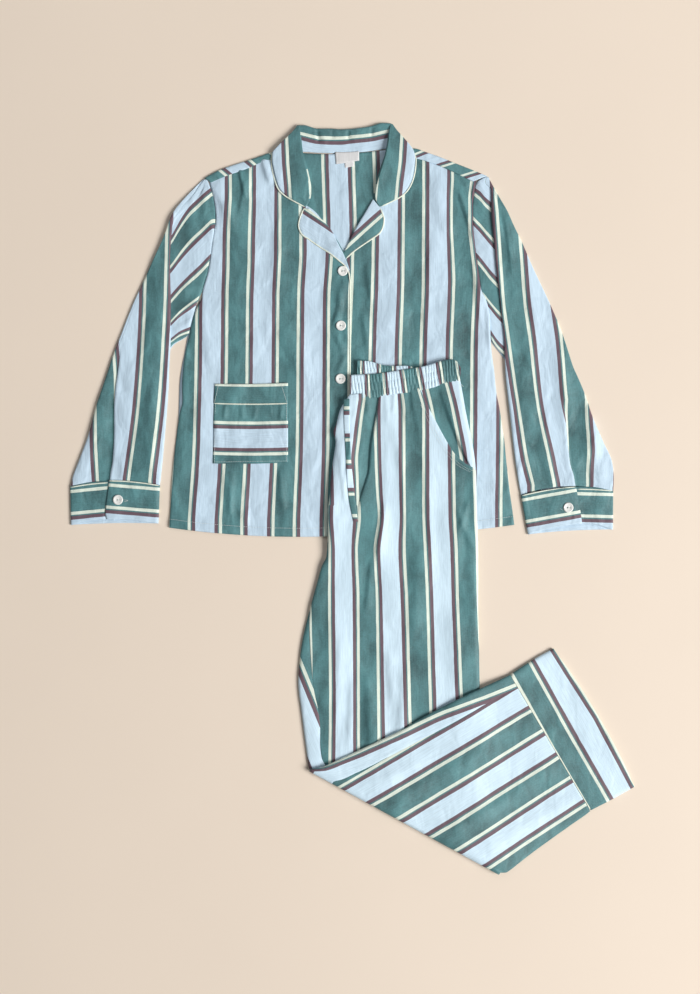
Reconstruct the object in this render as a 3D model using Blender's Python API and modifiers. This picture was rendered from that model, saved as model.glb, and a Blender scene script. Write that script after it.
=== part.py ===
"""Pyjama set laid flat: a long-sleeved jacket with a notched collar, and trousers folded in half
and turned up once, lying partly on the jacket. Each piece of cloth is a wall of its own, built
from a short table of sections in millimetres. +Z is up from the table, +Y runs from hem to collar
of the jacket, and the wearer's right side is at -X."""

import math

import bpy
import numpy as np

MM = 0.001
WALL = 1.0  # thickness of every cloth wall
GAP = 0.3  # clearance at seams and between layers
LAYER = 1.6  # one layer of cloth above the next, centre to centre
FLOOR = 0.5  # centre of the lowest layer
FRONT = FLOOR + LAYER  # centre of the jacket fronts
LAPPED = FRONT + LAYER  # centre of the right front where it laps over the left one
CORE = 3.6  # thickness of the hidden trouser layers
SKIN = CORE + GAP + WALL / 2  # centre of a visible trouser panel above what the core rests on
LIP_ROOM = 1.3  # the core's height over the turned-under end of the fold
FOLD_AXIS = 5.7  # height of the axis that the trousers are folded about
FOLD_OUTER = 4.4  # outside radius of the core at the fold
FOLD_SKIN = 5.2  # centre radius of the visible panel at the fold
LAID = 5.4  # how much higher the trousers' layers lie on the jacket than on the table
UNDER_STAND = 6.7  # underside of the trousers over the button stand and its buttons
UNDER_FRONT = FRONT + WALL / 2 + GAP  # and over the left front alone
BUTTON_R = 8.0
BUTTON_T = 1.8
RIBS_NEAR = 32  # gathers of the near half of the waistband
RIBS_FAR = 16  # gathers that show of the far half

# base colours, linear
STRIPE_MEAN = (0.36, 0.46, 0.50)
STRIPE_DEEP = (0.20, 0.34, 0.37)
WHITE = (0.80, 0.80, 0.80)


# ---------------------------------------------------------------- helpers


def table(names, *rows):
    """The columns of a table by name. Each row is one section."""
    return dict(zip(names.split(), np.array(rows, float).T))


def ease(t):
    """0 to 1 with level ends."""
    t = np.clip(t, 0.0, 1.0)
    return t * t * (3.0 - 2.0 * t)


def between(a, b, shares):
    """Points at the given shares of the way from each a to each b: rows x shares x 2."""
    shares = np.asarray(shares, float)[None, :, None]
    return a[:, None, :] * (1.0 - shares) + b[:, None, :] * shares


def pairs(t, x, y):
    return np.stack([t[x], t[y]], axis=-1)


def with_z(plan, z):
    return np.concatenate([plan, np.broadcast_to(z, plan.shape[:2])[..., None]], axis=-1)


def material(name, colour, rough):
    made = bpy.data.materials.new(name)
    made.use_nodes = True
    shader = made.node_tree.nodes["Principled BSDF"]
    shader.inputs["Base Color"].default_value = (*colour, 1.0)
    shader.inputs["Roughness"].default_value = rough
    shader.inputs["Metallic"].default_value = 0.0
    made.diffuse_color = (*colour, 1.0)
    return made


def add_object(name, verts, faces, colour, rough=0.85):
    mesh = bpy.data.meshes.new(name)
    mesh.from_pydata((np.asarray(verts) * MM).tolist(), [], faces)
    mesh.validate()
    made = bpy.data.objects.new(name, mesh)
    PARTS.objects.link(made)
    mesh.materials.append(material(name + "_cloth", colour, rough))
    return made


def sheet(name, points, colour, wall=WALL, keep=None):
    """A cloth wall about a grid of points, rows x columns x 3. keep is True for the cells that
    the cloth has."""
    rows, cols = points.shape[:2]
    index = np.arange(rows * cols).reshape(rows, cols)
    quads = np.stack(
        [index[:-1, :-1], index[:-1, 1:], index[1:, 1:], index[1:, :-1]], axis=-1
    )
    quads = quads[keep] if keep is not None else quads.reshape(-1, 4)
    used = np.unique(quads)
    quads = np.searchsorted(used, quads)
    made = add_object(name, points.reshape(-1, 3)[used], quads.tolist(), colour)
    thick = made.modifiers.new("wall", "SOLIDIFY")
    thick.thickness = wall * MM
    thick.offset = 0.0
    thick.use_rim = True
    return made


def swept(name, rings, colour):
    """A solid through closed rings, stations x points x 3, with its two ends capped."""
    stations, count = rings.shape[:2]
    index = np.arange(stations * count).reshape(stations, count)
    turned = np.roll(index, -1, axis=1)
    quads = np.stack([index[:-1], turned[:-1], turned[1:], index[1:]], axis=-1)
    faces = quads.reshape(-1, 4).tolist()
    faces.append(index[0][::-1].tolist())
    faces.append(index[-1].tolist())
    return add_object(name, rings.reshape(-1, 3), faces, colour)


# ---------------------------------------------------------------- jacket heights


def front_height(x, y):
    """Centre of the right front: it steps up where it laps over the left front."""
    return FRONT + LAYER * ease((x + 49.0) / 15.0) + 0.0 * y


def back_height(x, y):
    """Centre of the back: it rises towards the neck seam, over the turned-down collar."""
    near_neck = ease((110.0 - np.abs(x + 14.0)) / 30.0)
    return FLOOR + 0.8 * ease((y - 490.0) / 45.0) * near_neck


# ---------------------------------------------------------------- jacket body

BACK_SIDES = table(
    "left_x left_y right_x right_y sag",
    (-283, -44, 249, -40, -14),
    (-281, 0, 245, 0, 0),
    (-275, 60, 238, 60, 0),
    (-269, 120, 229, 120, 0),
    (-265, 180, 221, 180, 0),
    (-258, 230, 214, 235, 0),
    (-246, 285, 207, 296, 0),
    (-233, 313, 198, 324, 0),
    (-221, 360, 191, 362, 0),
    (-213, 410, 183, 405, 0),
    (-210, 440, 180, 440, 0),
    (-214, 468, 182, 468, 0),
)

# top edge of the back: the shoulder fold, and where the part that wraps forward ends at the seam
BACK_TOP = table(
    "fold_x fold_y seam_x seam_y",
    (-224, 494, -219.5, 489.8),
    (-206, 508, -200, 498),
    (-165, 522, -163, 511.3),
    (-128, 535, -128, 525.7),
    (-104, 541, -104, 535.8),
    (-78, 536, 0, 0),
    (-50, 534, 0, 0),
    (-25, 533, 0, 0),
    (12, 535.5, 0, 0),
    (48, 539, 0, 0),
    (74, 541, 74, 533),
    (95, 541, 96, 526.7),
    (120, 534, 121, 521.9),
    (152, 522, 152, 508),
    (180, 511, 174, 497.5),
    (205, 499.5, 187.5, 491.2),
)
NECK_COLUMNS = (4, 10)  # the wrap stops at these columns on each side of the neck


def build_back():
    fold = pairs(BACK_TOP, "fold_x", "fold_y")
    seam = pairs(BACK_TOP, "seam_x", "seam_y")
    share = (fold[:, 0] - fold[0, 0]) / (fold[-1, 0] - fold[0, 0])
    left = pairs(BACK_SIDES, "left_x", "left_y")
    right = pairs(BACK_SIDES, "right_x", "right_y")
    plan = between(left, right, share)
    plan[..., 1] += BACK_SIDES["sag"][:, None] * (4 * share * (1 - share))[None]
    flat = with_z(plan, back_height(plan[..., 0], plan[..., 1]))
    count = len(share)
    neck = np.zeros(count, bool)
    neck[NECK_COLUMNS[0] + 1 : NECK_COLUMNS[1]] = True
    under = np.column_stack([fold[:, 0], fold[:, 1] - 2.0, np.full(count, FLOOR)])
    under[neck] = np.column_stack(
        [fold[neck], back_height(fold[neck, 0], fold[neck, 1])]
    )
    crest = np.column_stack([fold[:, 0], fold[:, 1] - 0.5, np.full(count, 1.3)])
    over = np.column_stack([fold[:, 0], fold[:, 1] - 2.0, np.full(count, FRONT)])
    end = np.column_stack([seam, np.full(count, FRONT)])
    points = np.concatenate([flat, np.stack([under, crest, over, end])])
    keep = np.ones((len(points) - 1, count - 1), bool)
    keep[-3:, NECK_COLUMNS[0] : NECK_COLUMNS[1]] = False
    return sheet("jacket_back", points, STRIPE_DEEP, keep=keep)


FRONT_RIGHT = table(
    "side_x side_y edge_x edge_y sag",
    (-284, -45, -4, -57, -7),
    (-281, 0, -4, 0, 0),
    (-275, 60, -4, 60, 0),
    (-269, 120, -4, 120, 0),
    (-263, 180, -4, 180, 0),
    (-255, 235, -4, 235, 0),
    (-244, 290, -4, 290, 0),
    (-233, 320, -5, 340, 0),
    (-222, 360, -14, 375, 0),
    (-214, 410, -35, 410, 0),
    (-211, 440, -57, 437, 0),
    (-215, 468, -88, 466, 0),
    (-219, 489, -103, 534, 0),
)
RIGHT_SHARES = (0, 0.14, 0.28, 0.42, 0.56, 0.7, 0.84, 0.895, 0.95, 1)

FRONT_LEFT = table(
    "side_x side_y edge_x edge_y sag",
    (250, -41, -32, -57, -6),
    (245, 0, -32, 0, 0),
    (238, 60, -32, 60, 0),
    (229, 120, -32, 120, 0),
    (221, 180, -32, 180, 0),
    (214, 235, -32, 235, 0),
    (208, 296, -32, 290, 0),
    (198, 325, -31, 335, 0),
    (191, 362, -19, 368, 0),
    (183, 405, 1, 402, 0),
    (180, 440, 18, 438, 0),
    (182, 468, 34, 468, 0),
    (187, 490, 75, 531, 4),
)
LEFT_SHARES = (0, 0.07, 0.13, 0.28, 0.42, 0.56, 0.7, 0.85, 1)
LEFT_CREASE = (1, 3.0, 405, 480)  # column, height, and the heights up the body it runs between


def build_fronts():
    side = pairs(FRONT_RIGHT, "side_x", "side_y")
    edge = pairs(FRONT_RIGHT, "edge_x", "edge_y")
    share = np.array(RIGHT_SHARES)
    plan = between(side, edge, share)
    plan[..., 1] += FRONT_RIGHT["sag"][:, None] * (4 * share * (1 - share))[None]
    sheet(
        "jacket_front_right",
        with_z(plan, front_height(plan[..., 0], plan[..., 1])),
        STRIPE_MEAN,
    )
    side = pairs(FRONT_LEFT, "side_x", "side_y")
    edge = pairs(FRONT_LEFT, "edge_x", "edge_y")
    share = np.array(LEFT_SHARES)
    plan = between(side, edge, share)
    plan[..., 1] += FRONT_LEFT["sag"][:, None] * (4 * share * (1 - share))[None]
    height = np.full(plan.shape[:2], FRONT)
    column, rise, low, high = LEFT_CREASE
    y = plan[:, column, 1]
    height[:, column] += rise * (y > low - 5) * (y < high)
    sheet("jacket_front_left", with_z(plan, height), STRIPE_MEAN)


# ---------------------------------------------------------------- lapels and collar

LAPEL_RIGHT = table(
    "out_x out_y roll_x roll_y",
    (-75, 449, -67, 447),
    (-79, 438, -57, 440),
    (-83.5, 426, -50, 434),
    (-82, 416, -44, 428),
    (-72, 404.5, -38, 421),
    (-52, 390.5, -33, 412),
    (-35, 379.5, -25, 399),
    (-19, 367, -17, 383),
    (-11, 361, -12, 373),
    (-6, 354, -8, 363),
    (-4.6, 345, -6, 354),
)
LAPEL_LEFT = table(
    "out_x out_y roll_x roll_y",
    (42.5, 448, 28, 460),
    (47, 441, 22, 447),
    (48.5, 430, 15, 434),
    (46, 418, 9, 424),
    (38, 408.5, 3, 413.5),
    (22, 396.5, -2, 404),
    (7, 385.5, -6, 394),
    (-5, 376, -9, 386),
)


def build_lapel(name, rows, height):
    """A facing turned back along the roll line: its last column goes down over the roll."""
    plan = between(
        pairs(rows, "out_x", "out_y"), pairs(rows, "roll_x", "roll_y"), (0, 0.33, 0.67, 1)
    )
    across = plan[:, -1] - plan[:, 0]
    across = across / np.linalg.norm(across, axis=1)[:, None]
    lip = plan[:, -1] + 1.3 * across
    z = height(plan[..., 0], plan[..., 1]) + LAYER
    points = with_z(plan, z)
    turned = np.column_stack([lip, z[:, -1] - 1.0])
    return sheet(name, np.concatenate([points, turned[:, None]], axis=1), STRIPE_MEAN)


# collar stations, from the right front's tip round the back of the neck to the left front's tip
COLLAR = table(
    "out_x out_y fold_x fold_y seam_x seam_y fall_z seam_z",
    (-113, 478, -72.5, 453.5, -83, 464, 5.0, 3.5),
    (-119, 491, -67, 470, -75, 478, 5.0, 3.5),
    (-124, 508, -67, 487, -79, 492, 5.0, 3.5),
    (-124, 526, -71.5, 509, -87, 512, 5.0, 3.5),
    (-120, 539, -75, 527, -90, 533, 5.0, 3.5),
    (-106, 554, -77, 543, -79, 536.8, 4.6, 2.9),
    (-94, 565, -79, 558, -75, 537.0, 4.0, 2.2),
    (-86, 574, -80, 571, -72, 536.8, 3.2, 1.7),
    (-79, 579.5, -77, 577, -68, 536.5, 1.6, 1.4),
    (-66, 577, -65, 576, -62, 535.9, 0.5, 1.3),
    (-50, 573, -50, 572, -48, 534.8, 0.5, 1.3),
    (-25, 571.7, -25, 570.7, -25, 534.0, 0.5, 1.3),
    (0, 573, 0, 572, 0, 535.6, 0.5, 1.3),
    (25, 576.5, 25, 575.5, 24, 537.6, 0.5, 1.3),
    (42, 580, 42, 579, 38, 539.0, 0.5, 1.3),
    (56, 581.2, 54, 579.5, 44, 539.8, 1.6, 1.4),
    (63, 576, 55.5, 572, 47.5, 540.4, 3.2, 1.7),
    (71, 567, 54, 560, 50, 540.8, 4.0, 2.2),
    (82, 554, 52.5, 546, 53, 541.2, 4.6, 2.9),
    (94, 537, 48, 527, 62, 533, 5.0, 3.5),
    (98, 519, 44, 511, 56, 514, 5.0, 3.5),
    (94, 499, 38.5, 494, 50, 497, 5.0, 3.5),
    (85, 477, 34.5, 478, 42, 480, 5.0, 3.5),
    (71, 464.5, 37, 459, 44, 468, 5.0, 3.5),
)


def build_collar():
    """One strip. Each station runs from the outer edge of the fall to the fold and on to the
    neck seam. At the back of the neck the fall is only a short turned-down lip."""
    out = pairs(COLLAR, "out_x", "out_y")
    fold = pairs(COLLAR, "fold_x", "fold_y")
    seam = pairs(COLLAR, "seam_x", "seam_y")
    fall_z = COLLAR["fall_z"]
    seam_z = COLLAR["seam_z"]
    fall = fold - out
    reach = np.linalg.norm(fall, axis=1)
    inward = fall / reach[:, None]
    stand = seam - fold
    stand = stand / np.linalg.norm(stand, axis=1)[:, None]
    side = fall_z > 1.0  # stations where the fall lies on top
    crest_z = np.where(side, (fall_z + seam_z) / 2, FRONT - 0.2)
    shoulder = np.where(side, 1.2, 0.35)
    lead = fold - inward * np.minimum(shoulder, reach * 0.4)[:, None]
    rows = [
        np.column_stack([out, fall_z]),
        np.column_stack([(out + lead) / 2, np.where(side, fall_z, 1.1)]),
        np.column_stack([lead, np.where(side, fall_z, 1.7)]),
        np.column_stack([fold + inward * 0.3 * side[:, None], crest_z]),
        np.column_stack([fold + stand * 1.6, np.where(side, seam_z, FRONT)]),
        np.column_stack([(fold + seam) / 2, np.where(side, seam_z, FRONT)]),
        np.column_stack([seam, seam_z]),
    ]
    return sheet("collar", np.stack(rows, axis=1), STRIPE_MEAN)


# ---------------------------------------------------------------- sleeves and cuffs

# Distances are outwards from the jacket's middle. seam: armhole or underarm seam, inner: inner
# fold of the upper layer, outer: outer fold, depth: how far the pleat's valley lies under it,
# back: end of the lower layer, cap/mid/top: heights of the pleat's three layers.
SLEEVE_RIGHT = table(
    "y_in y_out bow seam inner outer depth back cap mid top",
    (494, 494, 0, 225, 229, 230.5, -1, 225.3, 2.1, 2.1, 2.1),
    (484, 484, 0, 221.5, 236, 241, -6, 221.2, 2.1, 2.1, 2.1),
    (473, 473, 0, 217.5, 243, 252, -8, 217, 2.1, 2.1, 2.1),
    (460, 460, 0, 214.8, 254, 264, -8, 213.8, 2.1, 2.1, 2.1),
    (446, 446, 0, 212.8, 268, 275, -7, 211.8, 2.1, 2.2, 2.4),
    (432, 432, 0, 212.6, 279, 282, -4, 211.8, 2.1, 2.4, 3.0),
    (415, 415, 0, 214.3, 280.5, 288, 2.5, 213.3, 2.1, 3.6, 5.1),
    (396, 396, 0, 217, 282, 296, 6, 216.2, 2.1, 3.7, 5.3),
    (370, 370, 0, 221.3, 283, 308.5, 12, 220.3, 2.1, 3.7, 5.3),
    (335, 335, 0, 229.8, 282.5, 324, 16, 228.2, 2.1, 3.7, 5.3),
    (300, 300, 0, 241.9, 281.5, 340, 16, 241.4, 2.1, 3.7, 5.3),
    (270, 270, 0, 250.2, 281.8, 352, 16, 251.4, 2.1, 3.7, 5.3),
    (254, 254, 0, 254.5, 281.7, 358, 16, 254.3, 2.1, 3.7, 5.3),
    (238, 238, 0, 279, 281.8, 364.5, 16, 277, 2.1, 3.7, 5.3),
    (218, 218, 0, 290, 283, 372, 15, 290, 2.1, 3.7, 5.3),
    (198, 198, 0, 297, 284, 378.5, 13, 299, 2.4, 3.2, 4.8),
    (170, 170, 0, 298, 285, 388, 12, 300, 1.6, 1.6, 3.2),
    (140, 140, 0, 298, 287, 398, 11, 300, 0.5, 0.5, 2.1),
    (100, 100, 0, 301, 290.5, 408.4, 10, 303, 0.5, 0.5, 2.1),
    (60, 60, 0, 304, 294, 423, 10, 306, 0.5, 0.5, 2.1),
    (22.2, 21.9, 7.5, 308, 298.5, 436, 10, 310, 0.5, 0.5, 2.1),
)
SLEEVE_LEFT = table(
    "y_in y_out bow seam inner outer depth back cap mid top",
    (498, 498, 0, 206.8, 209, 210, -1, 206.8, 2.1, 2.1, 2.1),
    (490, 490, 0, 190, 210, 214, -6, 199.8, 2.1, 2.2, 2.4),
    (477, 477, 0, 185, 214, 221, 1.5, 190, 2.1, 3.4, 4.7),
    (462, 462, 0, 182.6, 214.8, 229.5, 6, 182.6, 2.1, 3.7, 5.3),
    (446, 446, 0, 181.4, 214.8, 239, 11, 181.4, 2.1, 3.7, 5.3),
    (425, 425, 0, 182.2, 216, 248.5, 14, 182.2, 2.1, 3.7, 5.3),
    (395, 395, 0, 186, 219.5, 263, 16, 185.8, 2.1, 3.7, 5.3),
    (360, 360, 0, 192.4, 222, 278, 16, 192.4, 2.1, 3.7, 5.3),
    (325, 325, 0, 199.2, 226, 294.5, 16, 198.8, 2.1, 3.7, 5.3),
    (296, 296, 0, 209.4, 229, 308, 16, 208, 2.1, 3.7, 5.3),
    (265, 265, 0, 212.8, 233, 321, 16, 212, 2.1, 3.7, 5.3),
    (247, 247, 0, 215, 234.5, 327.5, 16, 214.4, 2.1, 3.7, 5.3),
    (222, 222, 0, 233, 235.5, 335.5, 16, 231, 2.1, 3.7, 5.3),
    (204, 204, 0, 244, 236.3, 341.5, 15, 244, 2.1, 3.7, 5.3),
    (184, 184, 0, 249.5, 238, 350.5, 13, 251.5, 2.4, 3.2, 4.8),
    (158, 158, 0, 253, 241, 361, 12, 255, 1.6, 1.6, 3.2),
    (128, 128, 0, 255, 244, 371, 11, 257, 0.5, 0.5, 2.1),
    (90, 90, 0, 258, 248.4, 387, 10, 260, 0.5, 0.5, 2.1),
    (54, 54, 0, 262, 253, 402.5, 10, 264, 0.5, 0.5, 2.1),
    (7.2, 13.4, 11, 270, 261, 403.5, 10, 272, 0.5, 0.5, 2.1),
)


def build_sleeve(name, rows, side):
    """Each section runs from the seam out to the pleat's valley, back to the inner fold, out
    over the top to the outer fold, and back along the table. side is -1 or 1 for the arm."""
    seam, inner, outer = rows["seam"], rows["inner"], rows["outer"]
    depth, cap, mid, top = rows["depth"], rows["cap"], rows["mid"], rows["top"]
    valley = inner + depth
    turned = np.clip(depth / 3.0, -1.0, 1.0)
    unrolled = ease((2.1 - mid) / 1.0) * (cap < 2.0)  # the seam lies past the valley
    width = outer - inner
    low_top = np.minimum(top, 2.1 + np.clip((40.0 - width) / 40.0, 0.0, 1.0) * 2.4)
    low_top = np.where(top < 2.5, top, low_top)
    clear = np.minimum(np.maximum(valley, inner) + 3.0, outer - 0.45 * np.clip(width, 0, 8))
    bend = np.minimum(1.4, width * 0.3)
    first = (seam + valley - 1.0) / 2
    across = [
        (seam, cap),
        (np.where(unrolled > 0.5, seam - 1.5, first), cap),
        (np.where(unrolled > 0.5, seam - 3.0, valley - 1.0), cap),
        (np.where(unrolled > 0.5, seam - 4.5, valley), (cap + mid) / 2),
        (np.where(unrolled > 0.5, seam - 6.0, valley - turned), mid),
        (inner + turned, mid + 0.1),
        (inner + 0.3, (mid + top) / 2),
        (inner + 1.3 * np.clip(width / 6.0, 0.3, 1.0), top),
        (clear, top),
        (clear * 0.55 + (outer - bend) * 0.45, top * 0.55 + low_top * 0.45),
        (outer - bend, low_top),
        (outer - 0.5, (low_top + FLOOR) / 2),
        (outer - bend, np.full_like(outer, FLOOR)),
        (outer * 0.6 + rows["back"] * 0.4 - 2.0, np.full_like(outer, FLOOR)),
        (rows["back"], np.full_like(outer, FLOOR)),
    ]
    points = []
    for out, z in across:
        share = np.clip((out - inner) / width, 0.0, 1.0)
        y = rows["y_in"] * (1 - share) + rows["y_out"] * share
        y = y + rows["bow"] * 4 * share * (1 - share) * (z > FLOOR)
        points.append(np.stack([side * out, y, z], axis=-1))
    return sheet(name, np.stack(points, axis=1), STRIPE_MEAN)


# flap: edge of the lapping end, folds: the two side folds, under: end beneath the flap
CUFF_RIGHT = table(
    "flap flap_y flap_side fold_a fold_a_y fold_b fold_b_y under under_y",
    (-377, 28, 0, -298.7, 21.3, -437, 20.6, -362, 27.3),
    (-379.5, 4, 0, -299.3, 1, -436.7, 0, -364, 5),
    (-382, -20, 0, -300, -20, -436.3, -21, -366, -15),
    (-380.5, -32, 0, -300.7, -39, -435.7, -41, -368, -33),
)
CUFF_LEFT = table(
    "flap flap_y flap_side fold_a fold_a_y fold_b fold_b_y under under_y",
    (345.5, 19.6, 0, 261, 6.2, 403.3, 12.3, 331, 15),
    (349.5, 0, 0, 264.5, -14, 403.2, -8, 334, -4),
    (353.4, -22, 0, 268.5, -35, 403.2, -28, 338, -26),
    (355.7, -38, 0, 272, -55.8, 403, -48, 342, -48),
)


def build_cuff(name, rows):
    """A band round the wrist, pressed flat: flap, fold a, along the table, fold b, under end."""
    flap = pairs(rows, "flap", "flap_y")
    fold_a = pairs(rows, "fold_a", "fold_a_y")
    fold_b = pairs(rows, "fold_b", "fold_b_y")
    under = pairs(rows, "under", "under_y")
    inward = np.sign(fold_b[:, :1] - fold_a[:, :1]) * np.array([[1.0, 0.0]])
    across = [
        (flap, LAPPED),
        (flap * 0.6 + fold_a * 0.4, LAPPED),
        (flap * 0.25 + fold_a * 0.75, LAPPED - 0.3),
        (fold_a + inward * 2.0, LAPPED - 0.6),
        (fold_a + inward * 0.5, (LAPPED - 0.6 + FLOOR) / 2),
        (fold_a + inward * 2.0, FLOOR),
        (fold_a * 0.6 + fold_b * 0.4, FLOOR),
        (fold_a * 0.2 + fold_b * 0.8, FLOOR),
        (fold_b - inward * 1.6, FLOOR),
        (fold_b - inward * 0.5, (FRONT + FLOOR) / 2),
        (fold_b - inward * 1.6, FRONT),
        (fold_b * 0.5 + flap * 0.5, FRONT),
        (flap - inward * 0.0, FRONT - 0.05),
        (under, FRONT - 0.1),
    ]
    points = [np.column_stack([plan, np.full(len(flap), z)]) for plan, z in across]
    return sheet(name, np.stack(points, axis=1), STRIPE_MEAN)


# ---------------------------------------------------------------- pocket, label, buttons

POCKET = table(
    "left_x left_y right_x right_y",
    (-216, 54.5, -100, 56),
    (-215.5, 85, -100, 86),
    (-215, 115, -100, 116),
    (-214.5, 144.5, -100, 144.5),
)
POCKET_BAND = table(
    "left_x left_y right_x right_y",
    (-214.5, 145.1, -100, 145.1),
    (-214, 162, -100, 162),
    (-213, 178, -100, 179.5),
)
POCKET_SHARES = (0, 0.2, 0.4, 0.6, 0.8, 1)


def build_pocket(name, rows):
    plan = between(
        pairs(rows, "left_x", "left_y"), pairs(rows, "right_x", "right_y"), POCKET_SHARES
    )
    return sheet(name, with_z(plan, FRONT + WALL + 0.4), STRIPE_MEAN)


LABEL_WALL = 0.6
LABEL = table("x_a x_b y", (-27, 10, 520), (-27, 10, 527), (-27, 10, 532.5))


def build_label():
    a = pairs(LABEL, "x_a", "y")
    b = pairs(LABEL, "x_b", "y")
    plan = between(a, b, (0, 0.5, 1))
    z = back_height(plan[..., 0], plan[..., 1]) + WALL / 2 + 0.35 + LABEL_WALL / 2
    return sheet("neck_label", with_z(plan, z), WHITE, wall=LABEL_WALL)


# name number, across, along, height of the cloth's centre under the button
BUTTONS = table(
    "number x y cloth_z",
    (1, -15.2, 352, LAPPED),
    (2, -17.8, 267.5, LAPPED),
    (3, -18.6, 185, LAPPED),
    (4, -18.6, 101.5, LAPPED),
    (5, -18.6, 18, LAPPED),
)
CUFF_BUTTONS = (("cuff_button_right", -362.5, -2.0), ("cuff_button_left", 333.6, -14.0))
# the button's outer side from the middle of its sunk top down to its flat back: reach, rise
BUTTON_PROFILE = ((0, 0.75), (0.66, 0.75), (0.84, 1), (1, 0.75), (1, 0.3), (0.86, 0), (0, 0))
BUTTON_SIDES = 16


def build_button(name, x, y, low):
    """A turned disc with a rounded rim and a slightly sunk middle."""
    verts = [(BUTTON_R * reach, 0.0, BUTTON_T * rise) for reach, rise in BUTTON_PROFILE]
    edges = [(i, i + 1) for i in range(len(verts) - 1)]
    mesh = bpy.data.meshes.new(name)
    mesh.from_pydata((np.array(verts) * MM).tolist(), edges, [])
    made = bpy.data.objects.new(name, mesh)
    PARTS.objects.link(made)
    made.location = (x * MM, y * MM, low * MM)
    mesh.materials.append(material(name + "_resin", WHITE, 0.35))
    turned = made.modifiers.new("turned", "SCREW")
    turned.steps = BUTTON_SIDES
    turned.render_steps = BUTTON_SIDES
    turned.use_merge_vertices = True
    turned.merge_threshold = 0.00002
    turned.use_normal_calculate = False
    return made


# ---------------------------------------------------------------- trousers


def underside(x, y):
    """What the trousers lie on: the button stand, the left front alone, or the table."""
    over_jacket = np.interp(x, (-8.0, 12.0), (UNDER_STAND, UNDER_FRONT))
    return over_jacket * np.interp(y, (-125.0, -60.0), (0.0, 1.0))


def turned_up_height(x, y):
    """Underside of the turned-up leg: on the other leg, and then down to the table."""
    return (FOLD_AXIS + 0.8) * (1.0 - ease((x - leg_side(y) - 3.0) / 40.0))


def leg_side(y):
    """Right side of the leg below, from where the turned-up leg covers it."""
    return 197.0 + np.maximum(0.0, -297.0 - y) * 0.1


# Outline of the leg from the waist to the fold. lift is how far its layers lie above the table.
UPPER = table(
    "left_x left_y right_x right_y lift",
    (2, 178, 158, 203, LAID),
    (-1, 158, 163, 182, LAID),
    (-18, 140, 169, 160, LAID),
    (-27, 112, 178, 116, LAID),
    (-28, 80, 185, 80, LAID),
    (-32, 45, 190, 45, LAID),
    (-36, 0, 191.5, 0, LAID),
    (-38.5, -60, 193.5, -60, LAID),
    (-53, -125, 194, -125, 0),
    (-63, -162, 194.5, -162, 0),
    (-77, -215, 195, -219, 0),
    (-83, -270, 196, -266, 0),
    (-83, -300, 197, -302, 0),
    (-80, -323, 199, -350, 0),
    (-76, -350, 203, -405, 0),
    (-72, -380, 209, -470, 0),
    (-68, -402, 216, -530, LIP_ROOM),
)
UPPER_LINES = (-8.0, 12.0, 60.0, 105.0, 150.0)  # across positions that its sections pass through
FOLD_LINE = ((-64.0, -417.0), (228.0, -575.5))  # axis of the fold
FOLD_OUTWARD = (-0.477, -0.879)
# the turned-up leg from the fold to the hem band: upper edge, seam of its back panel, lower edge
LOWER = table(
    "top_x top_y seam_x seam_y bottom_x bottom_y",
    (-64, -417, -35, -433, 228, -575.5),
    (-24, -405, 3, -422, 243, -572.5),
    (25, -383, 51, -401.5, 258, -558),
    (75, -360, 96, -378.7, 280, -543),
    (122, -333, 139, -351.4, 302, -528),
    (165, -311.5, 178, -328, 324, -513),
    (212, -290, 220, -302, 349, -496),
    (244.7, -274.2, 251.5, -285.7, 368, -482.5),
)
BAND = table(
    "top_x top_y bottom_x bottom_y",
    (245.3, -273.7, 368.4, -482),
    (258, -265, 382, -479),
    (275, -254, 399, -469),
    (293, -243.5, 418, -457),
    (308, -235, 432, -448),
    (311.5, -234.5, 436, -444),
)
BAND_BOW = (0, 1, 2, 3, 5, 6)  # how far each row of the band bows out towards the hem

# edge of the hidden layers: two layers with a groove between them, and room for a panel's edge
CORE_SIDE = table(
    "height inset",
    (0.0, 1.6),
    (0.5, 1.0),
    (1.3, 1.1),
    (1.55, 2.2),
    (1.8, 1.2),
    (2.2, 1.3),
    (2.4, 3.4),
    (3.6, 4.0),
)


def lower_shares(row):
    """Where the sections of the turned-up leg are sampled across: the seam, the side of the leg
    below, the table past it, and evenly between."""
    top, seam, bottom = (np.array(row[i : i + 2]) for i in (0, 2, 4))
    first = np.linalg.norm(seam - top) / np.linalg.norm(bottom - top)
    share = 0.5
    for _ in range(8):
        y = top[1] + (bottom[1] - top[1]) * share
        share = np.clip((leg_side(y) + 4.0 - top[0]) / (bottom[0] - top[0]), 0.0, 1.0)
    side = np.clip(share, first + 0.12, 0.93)
    down = np.clip(side + 25.0 / (bottom[0] - top[0]), 0.0, side + (1 - side) * 0.45)
    table_at = np.clip(side + 48.0 / (bottom[0] - top[0]), 0.0, side + (1 - side) * 0.8)
    return (first, (first + side) / 2, side, down, table_at)


def core_ring(left, right, shares, turned, place):
    """One closed section of the hidden layers. turned is 0 on the leg below and 1 on the
    turned-up leg, where the layers are upside down. place gives the point at a plan position
    and a height from the side that rests on the table."""
    along = (right - left) / np.linalg.norm(right - left)
    rise = CORE_SIDE["height"]
    lying = CORE_SIDE["inset"]
    flipped = np.interp(CORE - rise, rise, lying)
    inset = lying * (1 - turned) + flipped * turned
    ring = [place(left + (right - left) * share, 0.0) for share in shares]
    ring += [place(right - along * i, h) for h, i in zip(rise, inset)]
    ring += [place(left + (right - left) * share, CORE) for share in shares[::-1]]
    ring += [place(left + along * i, h) for h, i in zip(rise[::-1], inset[::-1])]
    return ring


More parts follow.
